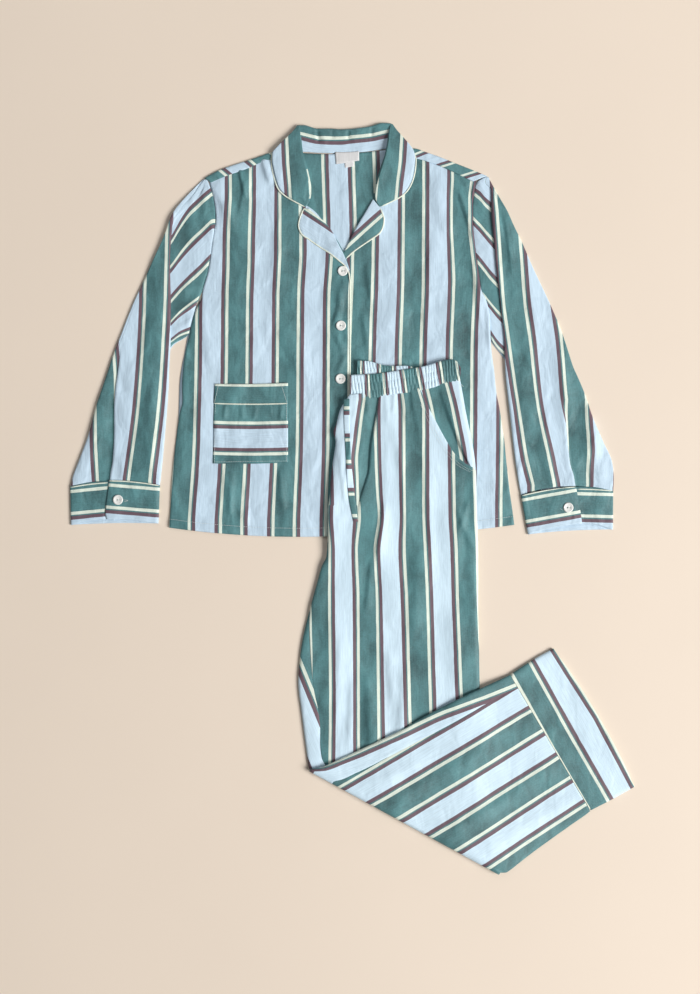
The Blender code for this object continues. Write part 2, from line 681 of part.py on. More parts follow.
def build_core():
    rings = []
    for lx, ly, rx, ry, lift in zip(*UPPER.values()):

        def lying(p, h):
            low = lift if lift != LAID and ly < -125.0 else float(underside(p[0], p[1]))
            high = lift + CORE
            return (p[0], p[1], low + (high - low) * h / CORE)

        shares = [np.clip((x - lx) / (rx - lx), 0.05, 0.95) for x in UPPER_LINES]
        if shares[1] <= shares[0]:
            shares[1] = shares[0] + 0.02
        left, right = np.array([lx, ly]), np.array([rx, ry])
        rings.append(core_ring(left, right, shares, 0.0, lying))
    a, b = np.array(FOLD_LINE)
    outward = np.array(FOLD_OUTWARD)
    rows = list(zip(*LOWER.values()))
    first = lower_shares(rows[0])
    for turn in (0.0, 45.0, 90.0, 135.0, 180.0):
        angle = math.radians(turn)

        def folding(p, h):
            reach = FOLD_OUTER - h
            p = p + outward * reach * math.sin(angle)
            return (p[0], p[1], FOLD_AXIS - reach * math.cos(angle))

        mixed = [s * (1 - turn / 180) + t * turn / 180 for s, t in zip(shares, first)]
        rings.append(core_ring(a, b, mixed, turn / 180.0, folding))

    def turned_up(p, h):
        return (p[0], p[1], float(turned_up_height(p[0], p[1])) + CORE - h)

    for row in rows[1:]:
        top, bottom = np.array(row[:2]), np.array(row[4:])
        rings.append(core_ring(top, bottom, lower_shares(row), 1.0, turned_up))
    for row in list(zip(*BAND.values()))[1:4]:
        top, bottom = np.array(row[:2]), np.array(row[2:])
        rings.append(core_ring(top, bottom, (0.1, 0.3, 0.5, 0.7, 0.9), 1.0, turned_up))
    return swept("trousers_hidden_layers", np.array(rings), STRIPE_DEEP)


# A visible panel's edge goes down round the layers below it: inset from the outline, and height
# over what the layers rest on.
WRAP = ((0.6, 3.0), (0.5, 3.6), (1.0, 4.15), (2.5, SKIN))
LEVEL = ((0.0, SKIN), (1.4, SKIN), (2.8, SKIN), (4.2, SKIN))


def edge_columns(edge, inward, wrapped, base, flip=False):
    """The four columns at one edge of a panel. wrapped is 1 in rows that go round the edge and
    0 in rows that end level at a seam. base is the height the layers rest on, row by row."""
    columns = []
    for (wi, wh), (li, lh) in zip(WRAP, LEVEL):
        inset = wi * wrapped + li * (1 - wrapped)
        height = wh * wrapped + lh * (1 - wrapped)
        plan = edge + inward * inset[:, None]
        z = (base(plan[:, 0], plan[:, 1]) if callable(base) else base) + height
        columns.append(np.column_stack([plan, z]))
    return columns[::-1] if flip else columns


# Front panel of the upper leg. wrap_l and wrap_r: 1 where the edge goes round the layers below.
# fold_x: where the pleat runs, fold: its height, mouth: lift of the pocket's edge.
LEG_FRONT = table(
    "left_x left_y right_x right_y bow wrap_l wrap_r fold_x fold mouth lift",
    (-3.5, 154.6, 104, 165.4, -3, 1, 0, 42, 2.0, 1.9, LAID),
    (-16, 143, 115.5, 145, 0, 1, 0, 40, 3.2, 1.9, LAID),
    (-26, 114, 131, 114, 0, 1, 0, 35.5, 3.4, 1.9, LAID),
    (-28, 90, 144, 91, 0, 1, 0, 30, 3.4, 1.9, LAID),
    (-29, 66, 161, 66, 0, 1, 0, 27.5, 3.0, 1.9, LAID),
    (-32, 42, 189.5, 43.5, 0, 1, 0, 26, 2.6, 1.7, LAID),
    (-34, 20, 191, 20, 0, 1, 1, 22, 1.8, 0, LAID),
    (-36, -8, 191.5, -8, 0, 1, 1, 17, 0.8, 0, LAID),
    (-38.5, -60, 193.5, -60, 0, 1, 1, 16, 0, 0, LAID),
    (-53, -125, 194, -125, 0, 1, 1, 16, 0, 0, 0),
    (-61.2, -155, 194.5, -155, 0, 1, 1, 16, 0, 0, 0),
    (-63.6, -164, 194.6, -164, 0, 0, 1, 16, 0, 0, 0),
    (-65.5, -225, 195.5, -225, 0, 0, 1, 16, 0, 0, 0),
    (-63, -266, 196, -266, 0, 0, 1, 18, 0, 0, 0),
    (-60, -300, 197, -302, 0, 0, 1, 20, 0, 0, 0),
    (-57, -325, 199, -350, 0, 0, 1, 24, 0, 0, 0),
    (-54, -354, 203, -405, 0, 0, 1, 26, 0, 0, 0),
    (-50, -387, 209, -470, 0, 0, 1, 28, 0, 0, 0),
    (-46.7, -411.6, 216, -530, 0, 0, 1, 30, 0, 0, LIP_ROOM),
)


def build_leg_front():
    rows = LEG_FRONT
    left = pairs(rows, "left_x", "left_y")
    right = pairs(rows, "right_x", "right_y")
    along = (right - left) / np.linalg.norm(right - left, axis=1)[:, None]
    columns = edge_columns(left, along, rows["wrap_l"], rows["lift"])
    near_fold = (rows["fold_x"] - left[:, 0]) / (right[:, 0] - left[:, 0])
    width = right[:, 0] - left[:, 0]
    inner = (
        (near_fold * 0.45, 0.0, 0.0),
        (near_fold - 12.0 / width, 0.0, 0.0),
        (near_fold - 4.0 / width, 0.9, 0.0),
        (near_fold + 3.0 / width, 1.0, 0.0),
        (near_fold + 10.0 / width, 0.0, 0.0),
        ((near_fold + 1.0) / 2, 0.0, 0.0),
        (1.0 - 24.0 / width, 0.0, 0.0),
        (1.0 - 13.0 / width, 0.0, 1.0),
    )
    for share, fold, mouth in inner:
        plan = left + (right - left) * share[:, None]
        plan[:, 1] += rows["bow"] * 4 * share * (1 - share)
        z = rows["lift"] + SKIN + rows["fold"] * fold + rows["mouth"] * mouth
        columns.append(np.column_stack([plan, z]))
    for column in edge_columns(right, -along, rows["wrap_r"], rows["lift"], flip=True):
        column[:, 2] += rows["mouth"]
        columns.append(column)
    return sheet("trouser_leg_front", np.stack(columns, axis=1), STRIPE_MEAN)


LEG_BACK = table(
    "left_x left_y seam_x seam_y lift",
    (-67.3, -179, -64.7, -182, 0),
    (-70.5, -191, -64.9, -194, 0),
    (-76.8, -215, -65.4, -220, 0),
    (-80, -236, -64.8, -242, 0),
    (-82.5, -260, -63.2, -266, 0),
    (-83.7, -283, -61.3, -287, 0),
    (-82.5, -302, -59.4, -306, 0),
    (-79.5, -323, -57, -325, 0),
    (-76.5, -347, -54.2, -352, 0),
    (-72.5, -380, -50, -387, 0),
    (-71, -400, -46.8, -411, LIP_ROOM),
)


def build_leg_back():
    left = pairs(LEG_BACK, "left_x", "left_y")
    seam = pairs(LEG_BACK, "seam_x", "seam_y")
    lift = LEG_BACK["lift"]
    reach = np.linalg.norm(seam - left, axis=1)
    along = (seam - left) / reach[:, None]
    columns = []
    for inset, height in WRAP:
        plan = left + along * np.minimum(inset, reach * inset / 3.6)[:, None]
        columns.append(np.column_stack([plan, lift + height]))
    for share in (0.6, 1.0):
        plan = left * (1 - share) + (seam - along * 0.6) * share
        columns.append(np.column_stack([plan, lift + SKIN]))
    return sheet("trouser_leg_back", np.stack(columns, axis=1), STRIPE_DEEP)


# side panel seen inside the pocket mouth: from under the mouth's edge to the side of the leg
POCKET_SIDE = table(
    "left_x left_y right_x right_y",
    (97, 163.5, 163.3, 180.5),
    (107, 143, 170, 160),
    (122, 114, 177.5, 120),
    (134, 91, 183, 94),
    (151, 66, 187, 70),
    (172, 48, 189.3, 49),
)


def build_pocket_side():
    left = pairs(POCKET_SIDE, "left_x", "left_y")
    right = pairs(POCKET_SIDE, "right_x", "right_y")
    along = (right - left) / np.linalg.norm(right - left, axis=1)[:, None]
    columns = []
    for share in (0.0, 0.35, 0.7):
        plan = left + (right - left) * share
        columns.append(np.column_stack([plan, np.full(len(plan), LAID + SKIN)]))
    columns += edge_columns(right, -along, np.ones(len(left)), LAID, flip=True)
    return sheet("trouser_side_panel", np.stack(columns, axis=1), STRIPE_DEEP)


FLY_STRIP = table(
    "left_x right_x y",
    (-13, -5, 149),
    (-13, -4.7, 122),
    (-11.6, -3.9, 91),
    (-10, -2.3, 60),
    (-8.5, 0.8, 29),
    (-5.4, 3.9, -2),
    (-0.8, 7, -26),
    (0.8, 8.5, -35),
)


def build_fly_strip():
    plan = between(pairs(FLY_STRIP, "left_x", "y"), pairs(FLY_STRIP, "right_x", "y"), (0, 0.5, 1))
    return sheet("trouser_fly_strip", with_z(plan, LAID + SKIN + WALL + 0.5), STRIPE_DEEP)


# ---------------------------------------------------------------- waistband

WAIST_NEAR = table(
    "top_x top_y low_x low_y",
    (-4, 190, -4, 156),
    (20, 191.5, 18, 155.3),
    (47, 194, 45, 157.3),
    (81, 199, 77, 163),
    (112, 204.5, 108, 168.5),
    (140, 213, 139, 177.3),
    (157, 213.5, 156, 180),
    (166, 200, 163.5, 182.5),
)
WAIST_FAR = table(
    "top_x top_y low_x low_y",
    (7, 213, 7, 185),
    (27, 211.5, 26, 186),
    (50, 205.5, 49, 188),
    (75, 205, 74, 191),
    (98, 202.5, 97, 194),
)
# share down the band and how far the gathers stand up there
BAND_ROWS = ((0.0, 0.35), (0.08, 0.8), (0.5, 1.0), (1.0, 0.5))
RIB_RISE = 0.6
NEAR_HEIGHT = LAID + SKIN + 0.7
FAR_HEIGHT = LAID + 1.9


def ribbed(rows, ribs, height, edge_drop):
    """A gathered band: the height swings once over each rib, and the upper edge turns down."""
    count = 2 * ribs + 1
    at = np.linspace(0, len(rows["top_x"]) - 1, count)
    step = np.arange(len(rows["top_x"]))
    top = np.stack([np.interp(at, step, rows[k]) for k in ("top_x", "top_y")], axis=-1)
    low = np.stack([np.interp(at, step, rows[k]) for k in ("low_x", "low_y")], axis=-1)
    swing = np.where(np.arange(count) % 2 == 0, -1.0, 1.0)
    down = (low - top) / np.linalg.norm(low - top, axis=1)[:, None]
    grid = [np.column_stack([top + down * 0.5, np.full(count, height - edge_drop)])]
    for share, rise in BAND_ROWS:
        plan = top + (low - top) * share + down * (1.4 if share == 0 else 0.0)
        z = height + swing * rise * RIB_RISE - (0.4 if share == 0 else 0.0)
        grid.append(np.column_stack([plan, z]))
    return np.stack(grid)


def build_waistbands():
    sheet("waistband_near", ribbed(WAIST_NEAR, RIBS_NEAR, NEAR_HEIGHT, 1.5), STRIPE_MEAN)
    sheet("waistband_far", ribbed(WAIST_FAR, RIBS_FAR, FAR_HEIGHT, 0.9), STRIPE_DEEP)


# ---------------------------------------------------------------- turned-up leg

FOLD_TURNS = (0.0, 30.0, 60.0, 90.0, 120.0, 150.0, 180.0)
LIP = 9.0  # how far the panel runs on past the fold, underneath


def fold_rows(a, b):
    """Edge points and heights of the rows that go round the fold between a and b."""
    outward = np.array(FOLD_OUTWARD)
    rows = [(a - outward * LIP, b - outward * LIP, FOLD_AXIS - FOLD_SKIN)]
    for turn in FOLD_TURNS:
        angle = math.radians(turn)
        shift = outward * FOLD_SKIN * math.sin(angle)
        rows.append((a + shift, b + shift, FOLD_AXIS - FOLD_SKIN * math.cos(angle)))
    return rows


def panel_row(a, b, inner, wrap_a, wrap_b, place):
    """One row of a panel: four points at edge a, the inner points, and four at edge b."""
    along = (b - a) / np.linalg.norm(b - a)
    row = []
    for wrapped, level in zip(WRAP, LEVEL):
        inset, height = wrapped if wrap_a else level
        row.append(place(a + along * inset, height))
    row += [place(p, SKIN) for p in inner]
    for wrapped, level in list(zip(WRAP, LEVEL))[::-1]:
        inset, height = wrapped if wrap_b else level
        row.append(place(b - along * inset, height))
    return row


def build_lower_panel(name, wrap_a, pick):
    """A panel of the turned-up leg. pick takes one of the leg's sections and returns this
    panel's two edges and its inner points."""
    grid = []
    rows = list(zip(*LOWER.values()))
    for index, row in enumerate(rows):
        top, seam, bottom = (np.array(row[i : i + 2]) for i in (0, 2, 4))
        shares = lower_shares(row)
        a, b, inner = pick(top, seam, bottom, shares)
        if index == 0:
            for start, end, z in fold_rows(a, b):
                moved = [p + (start - a) for p in inner]

                def level(p, height, z=z):
                    return (p[0], p[1], z)

                grid.append(panel_row(start, end, moved, wrap_a, not wrap_a, level))
            continue

        def place(p, height):
            return (p[0], p[1], float(turned_up_height(p[0], p[1])) + height + 0.15)

        grid.append(panel_row(a, b, inner, wrap_a, not wrap_a, place))
    return sheet(name, np.array(grid), STRIPE_MEAN)


def build_turned_up_leg():
    def back(top, seam, bottom, shares):
        end = seam - (seam - top) / np.linalg.norm(seam - top) * 0.2
        return top, end, []

    def front(top, seam, bottom, shares):
        start = seam + (seam - top) / np.linalg.norm(seam - top) * 0.2
        return start, bottom, [top + (bottom - top) * s for s in shares[1:]]

    build_lower_panel("turned_up_leg_back", True, back)
    build_lower_panel("turned_up_leg_front", False, front)


def build_hem_band():
    a = pairs(BAND, "top_x", "top_y")
    b = pairs(BAND, "bottom_x", "bottom_y")
    along = (b - a) / np.linalg.norm(b - a, axis=1)[:, None]
    out = np.array([0.861, 0.509])
    wrapped = np.ones(len(a))
    columns = edge_columns(a, along, wrapped, turned_up_height)
    for share in (0.2, 0.4, 0.6, 0.8):
        plan = a + (b - a) * share
        plan = plan + out * (np.array(BAND_BOW) * 4 * share * (1 - share))[:, None]
        z = turned_up_height(plan[:, 0], plan[:, 1]) + SKIN
        columns.append(np.column_stack([plan, z]))
    columns += edge_columns(b, -along, wrapped, turned_up_height, flip=True)
    points = np.stack(columns, axis=1)
    points[-1, 3:-3, 2] -= 1.0
    return sheet("leg_hem_band", points, STRIPE_MEAN)


# ---------------------------------------------------------------- build

for old in list(bpy.data.objects):
    bpy.data.objects.remove(old)
PARTS = bpy.data.collections.new("pyjama_set")
bpy.context.scene.collection.children.link(PARTS)

build_back()
build_fronts()
build_lapel("lapel_right", LAPEL_RIGHT, front_height)
build_lapel("lapel_left", LAPEL_LEFT, lambda x, y: np.full(np.shape(x), FRONT))
build_collar()
build_sleeve("sleeve_right", SLEEVE_RIGHT, -1.0)
build_sleeve("sleeve_left", SLEEVE_LEFT, 1.0)
build_cuff("cuff_right", CUFF_RIGHT)
build_cuff("cuff_left", CUFF_LEFT)
build_pocket("chest_pocket", POCKET)
build_pocket("pocket_band", POCKET_BAND)
build_label()
for number, bx, by, cloth in zip(*BUTTONS.values()):
    build_button(f"front_button_{int(number)}", bx, by, cloth + WALL / 2 + GAP)
build_button(*CUFF_BUTTONS[0], LAPPED + WALL / 2 + GAP)
build_button(*CUFF_BUTTONS[1], LAPPED + WALL / 2 + GAP)
build_core()
build_leg_front()
build_leg_back()
build_pocket_side()
build_fly_strip()
build_waistbands()
build_turned_up_leg()
build_hem_band()
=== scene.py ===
"""Pyjama set laid flat: a long-sleeved jacket with a notched collar, and trousers folded in half
and turned up once, lying partly on the jacket. The lay is charted in squares of SQUARE mm, with x
to the right and y towards the feet, and heights above the table are in mm. Every piece of cloth is
a thin sheet on the form of its solid, worked out from short tables of sections."""

import bpy
import numpy as np
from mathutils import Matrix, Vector


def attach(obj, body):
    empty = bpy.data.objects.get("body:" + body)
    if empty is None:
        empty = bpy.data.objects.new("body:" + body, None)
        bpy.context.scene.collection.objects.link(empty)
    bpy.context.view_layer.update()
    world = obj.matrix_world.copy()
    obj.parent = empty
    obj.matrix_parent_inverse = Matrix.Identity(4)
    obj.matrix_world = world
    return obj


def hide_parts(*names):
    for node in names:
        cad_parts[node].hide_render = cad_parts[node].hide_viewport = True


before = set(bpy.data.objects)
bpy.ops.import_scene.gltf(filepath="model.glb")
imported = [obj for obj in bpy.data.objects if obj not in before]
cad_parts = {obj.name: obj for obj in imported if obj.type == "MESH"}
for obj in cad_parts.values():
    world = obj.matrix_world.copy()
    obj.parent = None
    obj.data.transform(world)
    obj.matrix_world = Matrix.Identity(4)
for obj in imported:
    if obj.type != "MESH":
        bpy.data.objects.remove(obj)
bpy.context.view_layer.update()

SQUARE = 1.55  # mm
MIDDLE = (352.5, 498.5)  # the chart's point that lies at the origin
WALL = 0.7  # mm of cloth
REPEAT = 50.5  # squares from one green stripe to the next
HALF = REPEAT / 2
THREAD_PITCH = 0.42  # mm between threads of the weave
STEP = 2.0  # squares between points of a fine sheet

# ---------------- helpers


def table(names, *rows):
    """The columns of a table by name. Each row is one section, fold or stripe."""
    return dict(zip(names.split(), np.array(rows, float).T))


def ease(t):
    """0 to 1 with level ends: 3t² - 2t³."""
    t = np.clip(t, 0.0, 1.0)
    return t * t * (3.0 - 2.0 * t)


def arch(t):
    """1 in the middle and 0 at both ends: 4t(1 - t)."""
    return 4 * t * (1 - t)


def plan(grid):
    """The x and y of a sheet's points."""
    return grid[..., 0], grid[..., 1]


def smoothly(at, known, values):
    """Monotone cubic through (known, values), values along axis 0: it never swings past a value
    that is listed."""
    known = np.asarray(known, float)
    values = np.asarray(values, float)
    shape = (-1,) + (1,) * (values.ndim - 1)
    step = np.diff(known).reshape(shape)
    slope = np.diff(values, axis=0) / step
    before, after = slope[:-1], slope[1:]
    total = before + after
    level = np.abs(total) < 1e-12
    inner = np.where(before * after > 0, 2 * before * after / np.where(level, 1, total), 0.0)
    tangent = np.concatenate([slope[:1], inner, slope[-1:]])
    at = np.asarray(at, float)
    i = np.clip(np.searchsorted(known, at, side="right") - 1, 0, len(known) - 2)
    span = np.diff(known)[i]
    t = np.clip((at - known[i]) / span, 0.0, 1.0)
    if values.ndim > 1:
        t = t.reshape(t.shape + (1,) * (values.ndim - 1))
        span = span.reshape(t.shape)
    u = 1 - t
    return (
        values[i] * (1 + 2 * t) * u * u
        + values[i + 1] * t * t * (3 - 2 * t)
        + tangent[i] * span * t * u * u
        - tangent[i + 1] * span * t * t * u
    )


def spans(known, step, least=2):
    """Places from the first to the last known one, passing through each, about step apart."""
    parts = []
    for a, b in zip(known[:-1], known[1:]):
        count = max(least, int(np.ceil((b - a) / step)))
        parts.append(np.linspace(a, b, count, endpoint=False))
    return np.concatenate([*parts, known[-1:]])


def lengths(net, axis):
    """Mean distance along a net from its start, section by section."""
    step = np.linalg.norm(np.diff(net, axis=axis) * (1, 1, 1 / SQUARE), axis=2)
    step = np.maximum(step.mean(axis=1 - axis), 0.05)
    return np.concatenate([[0.0], np.cumsum(step)])


def fine(net, step=STEP):
    """A fine sheet through a coarse net of sections, rows x columns x (x, y, height). Returns
    the sheet, where its columns lie as positions between the net's columns, and its points' x
    and y."""
    net = np.asarray(net, float)
    down = lengths(net, 0)
    across = lengths(net, 1)
    rows = smoothly(spans(down, step), down, net)
    at = spans(across, step)
    sheet = smoothly(at, across, rows.transpose(1, 0, 2)).transpose(1, 0, 2)
    return sheet, np.interp(at, across, np.arange(len(across))), *plan(sheet)


def stripes(x, y, rows, first):
    """Place in the stripe repeat, in half repeats: even numbers are the middles of green
    stripes and odd ones the middles of blue stripes. Each row gives, at one y, the x of the
    middles, the first of which has the number first."""
    rows = np.asarray(rows, float)
    x = np.asarray(x, float)
    y = np.clip(y, rows[0, 0], rows[-1, 0])
    middles = [smoothly(y, rows[:, 0], rows[:, k]) for k in range(1, rows.shape[1])]
    total = np.full(x.shape, float(first))
    last = len(middles) - 2
    for k, (a, b) in enumerate(zip(middles[:-1], middles[1:])):
        share = (x - a) / (b - a)
        low = -np.inf if k == 0 else 0.0
        high = np.inf if k == last else 1.0
        total += np.clip(share, low, high)
    return total


FOLD_GAIN = 1.6  # the heights in the fold tables are raised by this


def folds(x, y, rows):
    """Sum of soft folds. Each row runs from (x1, y1) to (x2, y2), bowed sideways by bow, with
    its sides left and right squares wide and its height in mm, negative for a trough: height
    times exp of minus the squared distance over the width, faded in and out along it."""
    total = np.zeros(np.shape(x))
    for x1, y1, x2, y2, bow, left, right, height in rows:
        run = np.hypot(x2 - x1, y2 - y1)
        dx, dy = (x2 - x1) / run, (y2 - y1) / run
        along = ((x - x1) * dx + (y - y1) * dy) / run
        off = (x - x1) * dy - (y - y1) * dx
        off = off - bow * arch(along)
        side = np.where(off > 0, right, left)
        fade = ease((along + 0.12) / 0.35) * ease((1.12 - along) / 0.35)
        total += FOLD_GAIN * height * fade * np.exp(-((off / side) ** 2))
    return total


def unevenness(x, y, seed, size=0.12, tall=1.0):
    """Slight hand-laid unevenness: nine sine waves in different directions, 14 to 70 squares
    long, stretched along y by tall."""
    pick = np.random.default_rng(seed)
    total = np.zeros(np.shape(x))
    for wave in pick.uniform(14, 70, 9):
        turn, phase = pick.uniform(0, np.pi), pick.uniform(0, 2 * np.pi)
        place = x * np.cos(turn) + y / tall * np.sin(turn)
        total += size * wave / 50 * np.sin(place * 2 * np.pi / wave + phase)
    return total


# ---------------- finishes


def put(name, data):
    """A new object in the scene."""
    made = bpy.data.objects.new(name, data)
    bpy.context.scene.collection.objects.link(made)
    return made


def new_material(name, rough):
    made = bpy.data.materials.new(name)
    made.use_nodes = True
    shader = made.node_tree.nodes["Principled BSDF"]
    shader.inputs["Roughness"].default_value = rough
    return made, made.node_tree, shader


def node(tree, kind, inputs=(), **settings):
    """A node with its settings, its inputs given as values or as outputs to link."""
    made = tree.nodes.new(kind)
    for name, value in settings.items():
        setattr(made, name, value)
    for name, value in dict(inputs).items():
        if isinstance(value, bpy.types.NodeSocket):
            tree.links.new(value, made.inputs[name])
        else:
            made.inputs[name].default_value = value
    return made


def maths(tree, operation, a, b=0.5):
    return node(tree, "ShaderNodeMath", {0: a, 1: b}, operation=operation).outputs[0]


def object_place(tree):
    return node(tree, "ShaderNodeTexCoord").outputs["Object"]


def noise(tree, place, scale, detail=2.0, **settings):
    """Soft noise over a place, from 0 to 1 and mostly about a half."""
    inputs = {"Vector": place, "Scale": scale, "Detail": detail}
    return node(tree, "ShaderNodeTexNoise", inputs, **settings)


def bumped(tree, height, strength, distance):
    inputs = {"Height": height, "Strength": strength, "Distance": distance}
    return node(tree, "ShaderNodeBump", inputs)


def crumples(tree, depth):
    """Small soft creases left by wearing and washing, longer down the garment than across."""
    place = {"Vector": object_place(tree), "Scale": (1.0, 0.55, 1.0)}
    long = node(tree, "ShaderNodeMapping", place)
    crease = noise(tree, long.outputs[0], 48.0)
    crease.inputs["Roughness"].default_value = 0.45
    crease.inputs["Distortion"].default_value = 0.4
    return bumped(tree, crease.outputs[0], 0.5, depth).outputs[0], crease.outputs[0]


def weave(tree, shader, across, along, strength, crumpled=0.0055):
    """Plain weave: the product of two sine waves, one thread of warp and weft apart, as bump,
    with slubs and crumples. Returns the slub and the crumple height, which striped_cotton also
    uses to paint shade into the creases."""
    waves = 2 * np.pi / THREAD_PITCH
    warp = maths(tree, "SINE", maths(tree, "MULTIPLY", across, waves))
    weft = maths(tree, "SINE", maths(tree, "MULTIPLY", along, waves))
    threads = maths(tree, "MULTIPLY", maths(tree, "MULTIPLY", warp, weft), 0.3)
    place = {0: maths(tree, "MULTIPLY", across, 0.9), 1: maths(tree, "MULTIPLY", along, 0.035)}
    place = node(tree, "ShaderNodeCombineXYZ", place)
    slub = noise(tree, place.outputs[0], 1.0, 3.0, noise_dimensions="2D").outputs[0]
    bump = bumped(tree, maths(tree, "ADD", threads, slub), strength, 0.0004)
    tilt, crease = crumples(tree, crumpled)
    tree.links.new(tilt, bump.inputs["Normal"])
    tree.links.new(bump.outputs[0], shader.inputs["Normal"])
    return slub, crease


def tinted(tree, shader, colour, shade, low, high):
    """The colour, made darker and lighter with the shade between the factors low and high."""
    inputs = {"Value": shade, "From Min": 0.25, "From Max": 0.75, "To Min": low, "To Max": high}
    spread = node(tree, "ShaderNodeMapRange", inputs, clamp=False)
    grey = node(tree, "ShaderNodeCombineColor", dict.fromkeys(range(3), spread.outputs[0]))
    if isinstance(colour, tuple):
        colour = (*colour, 1.0)
    inputs = {0: 1.0, 6: colour, 7: grey.outputs[0]}
    mix = node(tree, "ShaderNodeMix", inputs, data_type="RGBA", blend_type="MULTIPLY")
    tree.links.new(mix.outputs[2], shader.inputs["Base Color"])


GREEN = (0.086, 0.220, 0.236)
CREAM = (0.78, 0.86, 0.76)
BURGUNDY = (0.150, 0.092, 0.118)
BLUE = (0.58, 0.74, 0.88)
GREEN_ENDS = 0.346
# where each colour starts, from the middle of a green stripe (0) to the middle of a blue one (1)
STRIPE_COLOURS = (
    (0.0, GREEN),
    (GREEN_ENDS, CREAM),
    (0.459, GREEN),
    (0.507, BURGUNDY),
    (0.63, BLUE),
)


def striped_cotton(name, blue, crumpled):
    """Striped cotton of yarn coloured before weaving: the stripes follow the UV map, whose u
    counts half repeats and whose v is the distance along the stripes in mm. The green yarn is
    uneven: it is darker at random in broad clouds and in single threads, and the green is also
    painted darker in the low parts of creases, which is painted shade."""
    made, tree, shader = new_material(name, 0.52)
    shader.inputs["Sheen Weight"].default_value = 0.12
    shader.inputs["Sheen Roughness"].default_value = 0.45
    uv = node(tree, "ShaderNodeUVMap", uv_map="cloth")
    across, along, _ = node(tree, "ShaderNodeSeparateXYZ", {0: uv.outputs[0]}).outputs
    shade, crease = weave(
        tree, shader, maths(tree, "MULTIPLY", across, HALF * SQUARE), along, 0.3, crumpled
    )
    ragged = maths(tree, "MULTIPLY", maths(tree, "SUBTRACT", shade, 0.5), 0.02)
    place = maths(tree, "PINGPONG", maths(tree, "ADD", across, ragged), 1.0)
    ramp = node(tree, "ShaderNodeValToRGB")
    ramp.color_ramp.interpolation = "CONSTANT"
    points = ramp.color_ramp.elements
    while len(points) < len(STRIPE_COLOURS):
        points.new(0.5)
    for point, (start, colour) in zip(points, STRIPE_COLOURS):
        point.position = start
        point.color = (*(blue if colour == BLUE else colour), 1.0)
    tree.links.new(place, ramp.inputs[0])
    place_on = object_place(tree)
    green_mask = maths(tree, "LESS_THAN", place, GREEN_ENDS)
    cloud = noise(tree, place_on, 14.0, 1.0).outputs[0]
    thread = noise(tree, place_on, 420.0).outputs[0]
    # cloud and thread are random tone of the green yarn; crease darkens the green in the creases'
    # low parts, which is painted shade
    for dark, strength in ((cloud, 2.2), (crease, 3.2), (thread, 1.5)):
        part = maths(tree, "MULTIPLY", maths(tree, "SUBTRACT", dark, 0.5), strength)
        shade = maths(tree, "ADD", shade, maths(tree, "MULTIPLY", part, green_mask))
    tinted(tree, shader, ramp.outputs[0], shade, 0.90, 1.09)
    return made


def plain_cotton(name, colour, rough=0.7):
    """Cotton of one colour, its weave placed in mm."""
    made, tree, shader = new_material(name, rough)
    x, y, _ = node(tree, "ShaderNodeSeparateXYZ", {0: object_place(tree)}).outputs
    across = maths(tree, "MULTIPLY", x, 1000.0)
    along = maths(tree, "MULTIPLY", y, 1000.0)
    shade, _ = weave(tree, shader, across, along, 0.2)
    tinted(tree, shader, colour, shade, 0.93, 1.06)
    return made


def resin(name, colour):
    """White button resin with a faint cloud in it."""
    made, tree, shader = new_material(name, 0.22)
    shader.inputs["Coat Weight"].default_value = 0.3
    tinted(tree, shader, colour, noise(tree, object_place(tree), 160.0).outputs[0], 0.95, 1.04)
    return made


COTTON = striped_cotton("striped_cotton", BLUE, 0.006)
# the trousers take a copy of the same cotton with a lighter blue, which is painted light: it
# stands in for the stronger light on the trousers
TROUSER_COTTON_PAINTED_LIGHTER = striped_cotton("striped_cotton_trousers_painted_lighter", (0.66, 0.84, 0.97), 0.003)
PIPING = plain_cotton("piping_cotton", (0.84, 0.88, 0.76))
THREAD = plain_cotton("sewing_thread", (0.82, 0.86, 0.84), 0.5)
DARK_THREAD = plain_cotton("green_thread", (0.12, 0.25, 0.26), 0.5)
TAPE = plain_cotton("label_tape", (0.74, 0.74, 0.75), 0.5)
RESIN = resin("button_resin", (0.86, 0.86, 0.84))

# ---------------- making pieces


def metres(points):
    """Chart squares and mm of height to metres in the part's frame."""
    points = np.asarray(points, float)
    x = (points[..., 0] - MIDDLE[0]) * SQUARE
    y = (MIDDLE[1] - points[..., 1]) * SQUARE
    return np.stack([x, y, points[..., 2]], axis=-1) * 0.001


def grid_faces(rows, cols, start, closed):
    """Four-cornered faces of a grid, row by row; closed joins its last column to its first."""
    index = np.arange(rows * cols).reshape(rows, cols) + start
    if closed:
        index = np.concatenate([index, index[:, :1]], axis=1)
    corners = [index[:-1, :-1], index[:-1, 1:], index[1:, 1:], index[1:, :-1]]
    return np.stack(corners, axis=-1).reshape(-1, 4)


def put_mesh(name, points, faces, finish, uv=None):
    """A smooth mesh from arrays, riding on the root body."""
    mesh = bpy.data.meshes.new(name)
    mesh.vertices.add(len(points))
    mesh.vertices.foreach_set("co", points.astype(np.float32).ravel())
    sizes = np.full(len(faces), faces.shape[1])
    mesh.loops.add(faces.size)
    mesh.loops.foreach_set("vertex_index", faces.ravel())
    mesh.polygons.add(len(faces))
    mesh.polygons.foreach_set("loop_start", np.cumsum(sizes) - sizes)
    mesh.polygons.foreach_set("use_smooth", np.full(len(faces), True))
    if uv is not None:
        layer = mesh.uv_layers.new(name="cloth")
        layer.data.foreach_set("uv", uv[faces.ravel()].astype(np.float32).ravel())
    mesh.update(calc_edges=True)
    mesh.validate()
    mesh.materials.append(finish)
    made = put(name, mesh)
    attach(made, "root")
    return made


# pieces whose names start so get the trousers' copy of the cotton, whose lighter blue is painted
# light
TROUSER_PIECES = ("trouser", "turned", "leg", "waist", "fly")


def walled(made, wall):
    """A wall of so many mm about the surface."""
    thick = made.modifiers.new("wall", "SOLIDIFY")
    thick.thickness = wall * 0.001
    thick.offset = 0.0
    return made


